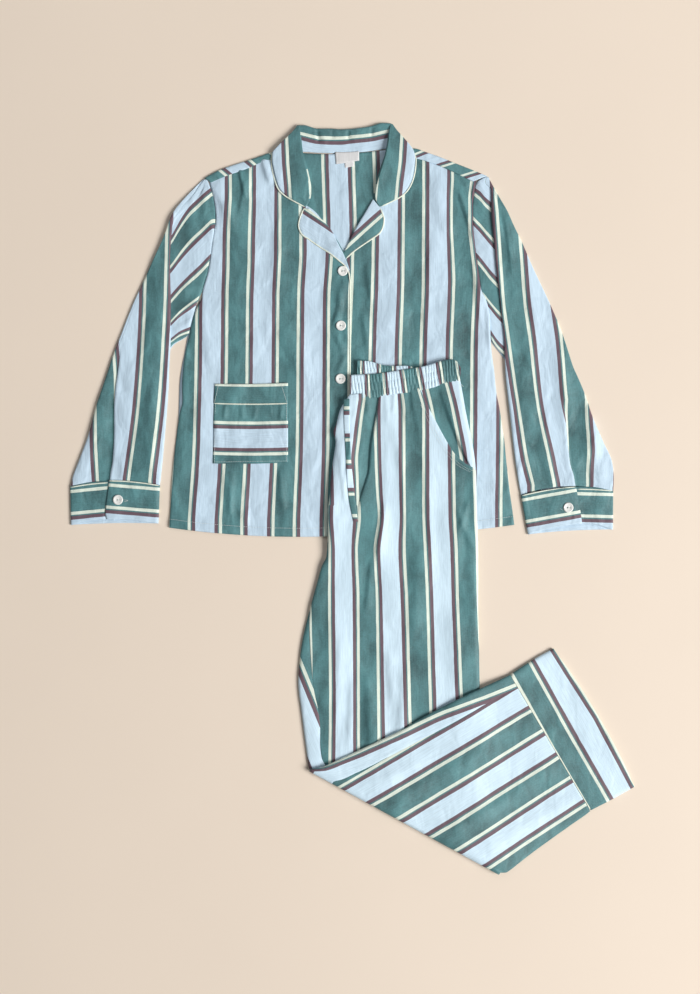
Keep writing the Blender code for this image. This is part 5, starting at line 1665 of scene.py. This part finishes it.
def build_pocket_side():
    """Side panel inside the pocket mouth: low under the mouth's edge, rising to the leg's side."""
    base = LAID + SKIN
    low = POCKET_SIDE["low"]
    net = net_between(
        POCKET_SIDE, "left", "right",
        ("at", 0.0, base - low - 0.6),
        ("at", 0.25, base - low - 0.4),
        ("at", 0.48, base - 0.9 * low),
        ("at", 0.58, base + 1.9 * low + 0.5),
        ("in", -3.0, base + 1.6 * low + 0.5),
        ("in", -1.0, base - 0.2 + 0.7 * low),
        ("in", -0.2, base - 1.6),
        ("in", -0.4, base - 3.2),
        ("in", -1.4, base - 4.6),
    )
    grid, _, x, y = fine(net, 1.4)
    middles = (
        (380, 434.6, 459.4),
        (405, 440.8, 466),
        (430, 445.8, 471),
        (455, 449.8, 476),
        (475, 451.5, 478),
    )
    made = cloth("trouser_side_cloth", [(grid, stripes(x, y, middles, 2), y * SQUARE)])
    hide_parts("trouser_side_panel")


def build_fly_strip():
    """A narrow strip cut across the stripes, beside the fly."""
    rows = table(
        "left_x right_x y",
        (343.6, 349.4, 399.5),
        (344, 349.5, 420),
        (345, 350, 440),
        (346, 351, 460),
        (347, 353, 480),
        (349, 355, 500),
        (352, 357, 515),
        (353.4, 358, 521.5),
    )
    shares = (0, 0.15, 0.5, 0.85, 1)
    width = rows["right_x"] - rows["left_x"]
    net = net_of(*[(rows["left_x"] + width * s, rows["y"], 0.0) for s in shares])
    grid, at, x, y = fine(net, 1.3)
    grid[..., 2] = leg_front_z(x, y) + 0.75 + 0.5 * (1 - ((at - 2) / 2) ** 2)[None]
    edges = table(
        "y place",
        (398, 0.03), (407, 0.3465), (411, 0.49), (415.3, 0.6238), (434, 1.376), (438, 1.51),
        (442, 1.6535), (460, 2.3465), (464.5, 2.49), (469, 2.6238), (488, 3.376), (492, 3.51),
        (495.7, 3.6535), (514, 4.3465), (518, 4.49), (522, 4.63),
    )
    place = np.interp(y, edges["y"], edges["place"])
    made = cloth("fly_strip_cloth", [(grid, place, x * SQUARE)])
    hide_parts("trouser_fly_strip")


WAIST_NEAR = table(
    "top_x top_y low_x low_y",
    (350, 376, 350, 398.2),
    (354, 375.4, 354, 398.6),
    (365, 375, 364.5, 398.8),
    (375, 374.4, 374, 398.4),
    (383, 373.4, 382, 397.2),
    (394, 371.8, 392.5, 394.8),
    (405, 370, 402.5, 393.6),
    (415, 368.5, 412.5, 392.8),
    (425, 366.6, 422.5, 390.4),
    (435, 363.5, 433, 388),
    (443, 361.1, 441.5, 385),
    (450, 360, 449, 383.4),
    (456, 362, 455, 382.2),
    (460, 368.5, 459.6, 381.2),
)
WAIST_FAR = table(
    "top_x top_y low_x low_y",
    (357, 361, 357, 379),
    (363, 361.4, 363, 379),
    (370, 362, 369.5, 378.4),
    (377, 364, 376.5, 377.8),
    (385, 366, 384.5, 377.4),
    (395, 366.5, 394.5, 376),
    (405, 366.3, 404.5, 375),
    (416, 368.2, 415, 373.4),
)


def build_waistbands():
    """Elastic waistband, near and far half. Small gathers run down it: its height swings as the
    size of a sine along the band, a little uneven, and dies out at the lower seam. Two rows of
    stitches hold it down. tops and lows are the stripes' middles at its upper and lower edge."""
    for half, rows, base, deep, flat, tops, lows in (
        (
            "near", WAIST_NEAR, LAID + SKIN + 1.6, 4.4, (0.22, 0.045),
            (358, 376, 393, 409, 427.5, 447.5), (358, 377, 396, 413.5, 432, 451),
        ),
        (
            "far", WAIST_FAR, LAID + 3.0, 2.2, (0.12, 0.024),
            (370.5, 386.5, 402), (370.5, 386.5, 402),
        ),
    ):
        net = net_between(
            rows, "top", "low",
            ("in", 2.4, base - deep),
            ("in", 0.5, base - deep * 0.8),
            ("in", 0.0, base - deep * 0.42),
            ("in", 0.7, base - 0.45),
            ("in", 2.2, base + 0.1),
            ("at", 0.35, base + 0.2),
            ("at", 0.7, base),
            ("at", 0.94, base - 0.5),
            ("at", 1.0, base - 1.2),
        ).transpose(1, 0, 2)
        grid = fine(net, 1.2)[0]
        along = lengths(net, 1)
        at = np.arange(0, along[-1], 0.42)
        step = lengths(grid, 1)
        grid = smoothly(at, step, grid.transpose(1, 0, 2)).transpose(1, 0, 2)
        x, y = plan(grid)
        top_y = np.interp(x, rows["top_x"], rows["top_y"])
        low_y = np.interp(x, rows["low_x"], rows["low_y"])
        down = np.clip((y - top_y) / (low_y - top_y), 0, 1)
        row = ease((down - 0.3) / 0.1) + ease((down - 0.64) / 0.1)
        wander = 0.7 * np.sin(x / 7.0 + row * 0.8) + 0.6 * np.sin(x / 3.3 + 1 + row * 1.4)
        wave = 2 * np.abs(np.sin((x - 2.5 * down + wander) * np.pi / 3.0)) - 1.27
        pull = 0.65 + 0.35 * np.sin(x / 5.3 + 2 + row) * np.sin(x / 2.9 + row * 3)
        fade = (0.45 + 0.55 * ease(down / 0.12)) * (0.5 + 0.5 * ease((1.03 - down) / 0.12))
        sewn = np.exp(-(((down - 0.35) / 0.045) ** 2)) + np.exp(-(((down - 0.69) / 0.045) ** 2))
        grid[..., 2] += 0.9 * wave * pull * fade * (1 - 0.35 * sewn) - 0.45 * sewn
        place = stripes(x, down, ((0, *tops), (1, *lows)), -1)
        made = cloth(f"waistband_{half}_cloth", [(grid, place, y * SQUARE)], 0.6)
        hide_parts("waistband_" + half)


# ---------------- turned-up leg

HEM_SEAM = (510.8, 675.2)  # upper end of the hem band's seam
HEM_OUTWARD = (0.861, -0.508)  # square to the seam, away from the leg
HEM_LENGTH = 156  # squares along the seam
TURNED_FOLDS = (
    (345, 800, 440, 748, 0, 6, 8, 0.8),
    (380, 812, 500, 742, 4, 8, 9, 1.1),
    (430, 838, 560, 760, -3, 8, 9, 1.2),
    (470, 860, 585, 792, 2, 7, 8, 0.9),
    (470, 745, 515, 716, 0, 7, 7, 0.8),
    (455, 820, 520, 782, 0, 5, 6, -0.6),
)


def turned_up_z(x, y):
    """Upper surface of the turned-up leg."""
    form = folds(x, y, TURNED_FOLDS) + unevenness(x, y, 61, 0.26)
    return turned_up_lift(x, y) + SKIN + 0.2 + np.maximum(form, -1.2 + 0.1 * form)


def fold_rows(a, b, heights_for):
    """Rows round the fold between the points a and b of its axis: a half circle, after a short
    run underneath."""
    rows = []
    away = np.array(FOLD_AWAY)
    for turn in (-90, 0, 25, 50, 75, 100, 125, 150, 170):
        angle = np.radians(max(turn, 0))
        shift = away * FOLD_R / SQUARE * np.sin(angle)
        if turn < 0:
            shift = -away * 5.0
        rows.append(heights_for(a + shift, b + shift, FOLD_Z - FOLD_R * np.cos(angle)))
    return rows


# the front panel's straight stripes: distance along the line square to them, and the place
TURNED_STRIPES = table(
    "distance place",
    (840.6, -1.95),
    (849.4, -1.598),
    (853.5, -1.432),
    (876.9, -0.568),
    (881.3, -0.402),
    (904.7, 0.402),
    (909.1, 0.568),
    (932.5, 1.432),
    (937, 1.598),
    (960.5, 2.402),
    (965, 2.568),
    (988.2, 3.432),
    (992.6, 3.598),
    (1004, 4),
)


# cloth at a side of the turned-up leg: squares in from the edge and mm down, where it goes down
# round the layers, and where it ends in a seam
WRAP = ((1.3, -4.0), (0.0, -2.7), (0.5, -1.4), (1.9, -0.35), (4.2, 0.0))
SEAM = ((-0.8, -0.9), (0.0, -0.35), (1.0, 0.0), (2.2, 0.1), (4.2, 0.0))


def turned_panel(a, b, inner, wrap_a):
    """One panel of the turned-up leg, between the table's edges a and b. Its rows start under
    the fold, go round it and run to the hem band. Its free edge goes down round the layers."""
    rows = TURNED_LEG
    edge_a = np.column_stack([rows[a + "_x"], rows[a + "_y"]])
    edge_b = np.column_stack([rows[b + "_x"], rows[b + "_y"]])
    first, last = (WRAP, SEAM) if wrap_a else (SEAM, WRAP)

    def row(p, q, level):
        reach = np.linalg.norm(q - p)
        way = (q - p) / reach
        scale = min(1.0, reach * 0.45 / 4.2)
        points = [(*(p + way * inset * scale), level, drop) for inset, drop in first]
        points += [(*(p + (q - p) * s), level, 0.0) for s in inner]
        points += [(*(q - way * inset * scale), level, drop) for inset, drop in last[::-1]]
        return points

    net = np.array(
        fold_rows(edge_a[0], edge_b[0], row)
        + [row(p, q, -1.0) for p, q in zip(edge_a[1:], edge_b[1:])]
    )
    turning = net[:, :, 2] >= 0
    over = turned_up_z(net[..., 0], net[..., 1])
    net[..., 2] = np.where(turning, net[..., 2], over)
    squash = np.clip(net[..., 2] / 11.0, 0.15, 1.0)
    net[..., 2] += net[..., 3] * np.where(turning, squash, 1.0)
    net[..., 2] = np.maximum(net[..., 2], 0.7)
    down = lengths(net[..., :3], 0)
    rows_at = spans(down, 1.8)
    across = lengths(net[..., :3], 1)
    cols_at = spans(across, 1.8)
    grid = smoothly(rows_at, down, net[..., :3])
    grid = smoothly(cols_at, across, grid.transpose(1, 0, 2)).transpose(1, 0, 2)
    t = np.interp(rows_at, down, np.arange(len(down)))
    level = ease((t - 9.0) / 2.0)[:, None]
    x, y = plan(grid)
    # the surface at the net's own points is in the net, so only the finer form is added
    coarse = smoothly(rows_at, down, turned_up_z(net[..., 0], net[..., 1]))
    detail = turned_up_z(x, y) - smoothly(cols_at, across, coarse.T).T
    index = np.interp(cols_at, across, np.arange(len(across)))
    inside = ease(index / 4.0) * ease((len(across) - 1 - index) / 4.0)
    grid[..., 2] += detail * level * inside[None]
    return grid, t, rows_at, x, y


def build_turned_up_leg():
    """The back panel, whose stripes run along its upper edge, and the front panel, whose
    stripes are straight and nearly level with that edge."""
    grid, t, run, x, y = turned_panel("top", "seam", (0.5,), True)
    top = grid[:, 3:4, :2]
    along = np.clip((t - 8) / (len(TURNED_LEG["top_x"]) - 1), 0, 1)[:, None]
    away = np.hypot(x - top[..., 0], y - top[..., 1]) * 0.84
    # place in the repeat at the panel's upper edge, by share of the way to the hem
    start = np.interp(
        along,
        (0, 0.07, 0.12, 0.23, 0.42, 0.62, 0.81, 0.93, 1),
        (0.5, 0.46, 0.42, 0.37, 0.355, 0.24, 0.09, 0.05, 0.04),
    )
    sheet = (grid, start + away / HALF, run[:, None] * SQUARE + 0 * x)
    back = cloth("turned_up_leg_back_cloth", [sheet])
    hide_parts("turned_up_leg_back")
    inner = (0.13, 0.25, 0.37, 0.49, 0.61, 0.73, 0.85)
    grid, _, run, x, y = turned_panel("seam", "bottom", inner, False)
    across = 0.5061 * x + 0.8625 * y
    # the stripes fan out a little towards the hem
    across = across + 0.00034 * np.maximum(across - 870, 0) * (0.8625 * x - 0.5061 * y - 20)
    place = np.interp(across, TURNED_STRIPES["distance"], TURNED_STRIPES["place"])
    front = cloth("turned_up_leg_front_cloth", [(grid, place, run[:, None] * SQUARE + 0 * x)])
    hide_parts("turned_up_leg_front")


def build_hem_band():
    """The band at the trouser hem: its rows run from the seam outwards, and its last two go down
    over the hem's edge and a little back beneath it."""
    rows = LEG_HEM
    out_x, out_y = HEM_OUTWARD
    columns = [inset_of(rows, "top", "bottom", inset, drop) for inset, drop in WRAP]
    for share in (0.12, 0.28, 0.44, 0.6, 0.76, 0.9):
        x, y, _ = across_of(rows, "top", "bottom", share, 0.0)
        push = rows["bow"] * arch(share)
        columns.append((x + out_x * push, y + out_y * push, 0.0))
    columns += [inset_of(rows, "bottom", "top", inset, drop) for inset, drop in WRAP[::-1]]
    net = net_of(*columns)
    over = net[-1:] - (out_x * 0.3, out_y * 0.3, 1.5)
    beneath = net[-1:] - (out_x * 2.5, out_y * 2.5, 1.9)
    grid, _, x, y = fine(np.concatenate([net, over, beneath]), 1.6)
    dx, dy = x - HEM_SEAM[0], y - HEM_SEAM[1]
    away = dx * out_x + dy * out_y
    down = np.clip((dx * 0.508 + dy * 0.861) / HEM_LENGTH, 0, 1)
    ripple = 0.25 * np.sin((y + x * 0.5) / 4.2) * ease((3.0 - away) / 3)
    # the hem's free edge lifts and falls a little along its length
    ripple += 0.5 * ease((away - 30) / 16) * np.sin(down * 17 + 1.0)
    grid[..., 2] = np.maximum(grid[..., 2] + turned_up_z(x, y) + ripple, 0.7)
    # distances of the blue stripe's two edges from the seam
    one = np.interp(down, (0, 0.5, 1), (26.8, 24.7, 23.8))
    two = np.interp(down, (0, 0.5, 1), (47.6, 50.6, 47.1))
    place = 0.564 + (away - one) / (two - one) * 0.872
    place = np.where(away > two, 1.436 + (away - two) * 0.045, place)
    place = np.where(away < one, 0.564 - (one - away) / 26.0, place)
    made = cloth("leg_hem_band_cloth", [(grid, place, down * HEM_LENGTH * SQUARE)])
    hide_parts("leg_hem_band")


# ---------------- buttons and trim

# name, x, y, height of the underside in mm, and how far the button is turned in radians
BUTTONS = (
    ("front_button_1", 342.7, 271.5, 4.9, 0.1),
    ("front_button_2", 341, 326, 4.6, -0.15),
    ("front_button_3", 340.5, 379, 4.6, 0.05),
    ("front_button_4", 340.5, 433, 4.4, 0.0),
    ("front_button_5", 340.5, 487, 4.4, 0.2),
    ("cuff_button_right", 118.7, 499.8, 6.1, 0.0),
    ("cuff_button_left", 567.7, 507.5, 6.1, -0.1),
)
BUTTON_R = 7.7  # mm
BUTTON_SIDES = 72
HOLE_R = 1.25  # mm
# share of the radius, and height over the underside in mm: the top from the middle outwards,
# then the rim and the underside back to the middle
BUTTON_TOP = table(
    "share height",
    (0, 1.25), (0.42, 1.3), (0.6, 1.5), (0.78, 2), (0.9, 1.95), (0.97, 1.5), (1, 0.9),
)
BUTTON_FOOT = table(
    "share height",
    (1, 1.25), (1, 0.8), (0.96, 0.35), (0.85, 0.05), (0.4, 0), (0.02, 0),
)


def hole_places(turn):
    """The middles of a button's two holes in mm, turned with it."""
    c, s = np.cos(turn), np.sin(turn)
    return [(x * c - y * s, x * s + y * c) for x, y in ((-1.95, -0.15), (1.95, 0.15))]


def button(name, x, y, low, turn):
    """A dished resin button: its profile turned about its middle, with two holes sunk in it,
    each a dent that falls off as exp of minus the fourth power of the distance."""
    steps = np.concatenate([np.linspace(0, 0.5, 26)[1:], np.linspace(0.5, 0.98, 14)[1:]])
    top = np.interp(steps, BUTTON_TOP["share"], BUTTON_TOP["height"])
    shares = np.concatenate([steps, BUTTON_FOOT["share"]])[:, None]
    heights = np.concatenate([top, BUTTON_FOOT["height"]])[:, None]
    ring = np.arange(BUTTON_SIDES)
    angle = ring * 2 * np.pi / BUTTON_SIDES
    px = shares * BUTTON_R * np.cos(angle)
    py = shares * BUTTON_R * np.sin(angle)
    z = np.broadcast_to(heights, px.shape)
    on_top = (np.arange(len(shares)) < len(steps))[:, None]
    for hx, hy in hole_places(turn):
        away = np.hypot(px - hx, py - hy) / HOLE_R
        z = z - on_top * 1.2 * np.exp(-(away**4))
    points = np.stack([x + px / SQUARE, y - py / SQUARE, low + z], axis=-1)
    ends = np.array([[x, y, low + 1.25], [x, y, low]])
    points = np.concatenate([points.reshape(-1, 3), ends])
    sides = grid_faces(len(shares), BUTTON_SIDES, 0, True)
    after = (ring + 1) % BUTTON_SIDES
    middle = np.full(BUTTON_SIDES, len(points) - 2)
    last = middle[0] - BUTTON_SIDES
    cap = np.stack([middle, ring, after], axis=-1)
    foot = np.stack([middle + 1, last + after, last + ring], axis=-1)
    faces = np.concatenate([sides[:, :3], sides[:, [0, 2, 3]], cap, foot])
    made = put_mesh(name + "_resin", metres(points), faces, RESIN)
    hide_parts(name)


def build_buttons():
    """The buttons, each with a few turns of thread from hole to hole."""
    for name, x, y, low, turn in BUTTONS:
        if name.startswith("front"):
            low = max(low, float(right_front_z(x, y)) + 0.6)
        button(name, x, y, low, turn)
        (ax, ay), (bx, by) = hole_places(turn)
        share = np.linspace(0, 1, 9)
        path = np.column_stack(
            [
                x + (ax + (bx - ax) * share) / SQUARE,
                y - (ay + (by - ay) * share) / SQUARE,
                low + 0.3 + 1.25 * arch(share) ** 0.6,
            ]
        )
        tube(name + "_thread", path, 0.36, DARK_THREAD)


def edge_path(xs, ys, zs, step=2.0):
    """A path through listed points, smoothed."""
    points = np.column_stack([xs, ys, np.broadcast_to(zs, len(xs))]).astype(float)
    run = run_of(points)
    at = np.linspace(0, run[-1], max(4, int(run[-1] / step)))
    return smoothly(at, run, points)


def piping(name, path, radius=1.15, flat=0.8):
    tube(name, path, radius, PIPING, flat=flat)


def build_piping():
    """Narrow cream piping along the collar, the lapels and front edge, and the seams of the
    pocket band, the cuffs and the trouser hem."""
    for side, rows, out in (("right", FALL_RIGHT, -0.3), ("left", FALL_LEFT, 0.3)):
        xs, ys, low = (rows[key][5:] for key in ("out_x", "out_y", "low"))
        piping("collar_piping_" + side, edge_path(xs + out, ys + 0.2, low + 0.1))
    xs, ys = LAPEL_RIGHT["out_x"], LAPEL_RIGHT["out_y"]
    down = np.arange(284, 536, 8.0)
    z = np.concatenate(
        [FRONT_Z + lapped(xs) + 1.6, right_front_z(np.full(len(down), 349.0), down) + 0.1]
    )
    xs = np.concatenate([xs, np.full(len(down), 350.0)])
    piping("front_edge_piping", edge_path(xs, np.concatenate([ys, down]), z))
    rows = LAPEL_LEFT
    piping("lapel_left_piping", edge_path(rows["out_x"], rows["out_y"], FRONT_Z + 1.7))
    xs = np.linspace(214, 288, 20)
    ys = 403.6 + pocket_sag(xs)
    piping("pocket_piping", edge_path(xs, ys, right_front_z(xs, ys) + 2.2), 1.0, 0.7)
    for name, a, b, y_a, y_b, z, bow in (
        ("cuff_right_piping", 109.3, 160, 480.9, 485.8, 5.9, -1.2),
        ("cuff_right_piping_under", 71, 109, 487.5, 482.8, 4.1, -0.8),
        ("cuff_left_piping", 521.4, 575.4, 495.7, 487.0, 5.9, -1.3),
        ("cuff_left_piping_under", 576.5, 612.4, 489.2, 491.0, 4.1, -0.5),
    ):
        share = np.linspace(0, 1, 16)
        xs = a + (b - a) * share
        ys = y_a + (y_b - y_a) * share + bow * arch(share)
        piping(name, edge_path(xs, ys, z), 1.0)
    share = np.linspace(0, 1, 60)
    xs = 510.3 + 79.9 * share
    ys = 674.3 + 135.3 * share
    ends = ease((0.02 - share) / 0.02) + ease((share - 0.98) / 0.02)
    piping("leg_hem_piping", edge_path(xs, ys, turned_up_z(xs, ys) + 0.35 - 2.2 * ends), 1.05)


def laid_on(heights, xs, ys, rise):
    """A path so many mm above a surface."""
    xs, ys = np.asarray(xs, float), np.asarray(ys, float)
    return np.column_stack([xs, ys, heights(xs, ys) + rise])


def build_stitching():
    """Stitch lines: the jacket's hem, the pocket's sides and corner stays, and bar tacks."""
    hems = []
    for heights, xs, edge_x, width, edge_y, fall, sag in (
        (right_front_z, np.linspace(170, 349, 90), 169, 181, 527.5, 7.8, 4.5),
        (left_front_z, np.linspace(352, 513, 80), 332, 182, 534.8, -10, 4),
    ):
        side = (xs - edge_x) / width
        hems.append(laid_on(heights, xs, edge_y + fall * side + sag * arch(side) - 8.6, 0.75))
    stitching("hem_stitches", hems, THREAD, 1.7, 0.26)
    sides = [
        laid_on(right_front_z, np.linspace(x1, x2, count), np.linspace(y1, y2, count), rise)
        for x1, y1, x2, y2, count, rise in (
            (215.6, 405, 214.6, 462, 30, 1.75),
            (214.6, 462, 286.8, 461, 40, 1.75),
            (286.8, 461, 286.6, 405, 30, 1.75),
            (215.2, 385.4, 286.8, 384.3, 40, 2.35),
        )
    ]
    stitching("pocket_stitches", sides, THREAD, 1.7, 0.24)
    stays = [
        laid_on(right_front_z, [214.8, 218.6], [402.4, 385.8], 2.45),
        laid_on(right_front_z, [286.8, 281.6], [402.4, 385.2], 2.45),
    ]
    stitching("pocket_corner_stays", stays, THREAD, 1.1, 0.34)
    xs = np.array([424, 433.6, 444.2, 454, 463.5, 472.5])
    ys = np.array([404, 425, 444.5, 457.5, 465.4, 469.8])
    z = leg_front_z(xs, ys) + 1.9
    mouth = [edge_path(xs - inset, ys + 0.6 * inset, z, 1.5) for inset in (1.4, 3.4)]
    stitching("pocket_mouth_stitches", mouth, THREAD, 1.7, 0.26)
    z = LAID + SKIN + 2.3
    stitching("waistband_tack", [[[460.6, 385.2, z], [462.6, 387.0, z]]], THREAD, 0.7, 0.5)
    z = 6.7
    holes = [
        [[123.6, 499.6, z], [128.2, 500.4, z]],
        [[128.0, 500.9, z], [125.2, 501.6, z]],
        [[561.4, 509.7, z], [559.8, 508.6, z]],
    ]
    stitching("cuff_buttonholes", holes, THREAD, 0.8, 0.36)


# ---------------- floor, lights, camera


def build_floor():
    """A plain pale floor with the faintest unevenness of tone."""
    floor, tree, shader = new_material("pale_floor", 0.6)
    cloud = noise(tree, object_place(tree), 3.0, 4.0).outputs[0]
    tinted(tree, shader, (0.84, 0.72, 0.605), cloud, 0.985, 1.015)
    side = np.linspace(-9.0, 9.0, 9)
    x, y = np.meshgrid(side, side)
    mesh = bpy.data.meshes.new("floor")
    points = np.stack([x, y, np.full_like(x, -0.0002)], axis=-1).reshape(-1, 3)
    mesh.from_pydata(points.tolist(), [], grid_faces(9, 9, 0, False).tolist())
    mesh.materials.append(floor)
    put("floor", mesh)


def area_light(name, place, size, power, colour):
    """A rectangle of light at a place, turned to the origin."""
    light = bpy.data.lights.new(name, "AREA")
    light.shape = "RECTANGLE"
    light.size, light.size_y = size
    light.energy = power
    light.color = colour
    made = put(name, light)
    made.location = place
    made.rotation_euler = (-Vector(place)).to_track_quat("-Z", "Y").to_euler()


def build_lights():
    """A broad soft window high to the right, and an even pale room."""
    area_light("window", (6.0, -2.2, 5.0), (4.6, 3.8), 872, (1.0, 0.985, 0.96))
    area_light("ceiling", (-0.4, 2.2, 2.6), (2.4, 2.4), 16.0, (1.0, 0.985, 0.97))
    world = bpy.data.worlds.new("room")
    world.use_nodes = True
    back = world.node_tree.nodes["Background"]
    back.inputs["Color"].default_value = (0.93, 0.97, 1.0, 1.0)
    back.inputs["Strength"].default_value = 0.145
    bpy.context.scene.world = world


def build_camera():
    """Straight above, 50 mm lens, so that 994 squares of the chart fill the view's height."""
    camera = bpy.data.cameras.new("camera")
    camera.lens = 50.0
    camera.sensor_width = 36.0
    camera.sensor_fit = "AUTO"
    made = put("camera", camera)
    made.location = metres((350, 497, 994 * SQUARE * camera.lens / camera.sensor_width))
    bpy.context.scene.camera = made
    bpy.context.scene.view_settings.view_transform = "Standard"
    bpy.context.scene.view_settings.look = "None"


build_camera()
build_lights()
build_floor()
build_back()
build_fronts()
build_lapels()
build_collar()
build_sleeves()
build_cuffs()
build_pocket()
build_label()
build_buttons()
build_hidden_layers()
build_leg_front()
build_leg_back()
build_pocket_side()
build_fly_strip()
build_waistbands()
build_turned_up_leg()
build_hem_band()
build_piping()
build_stitching()
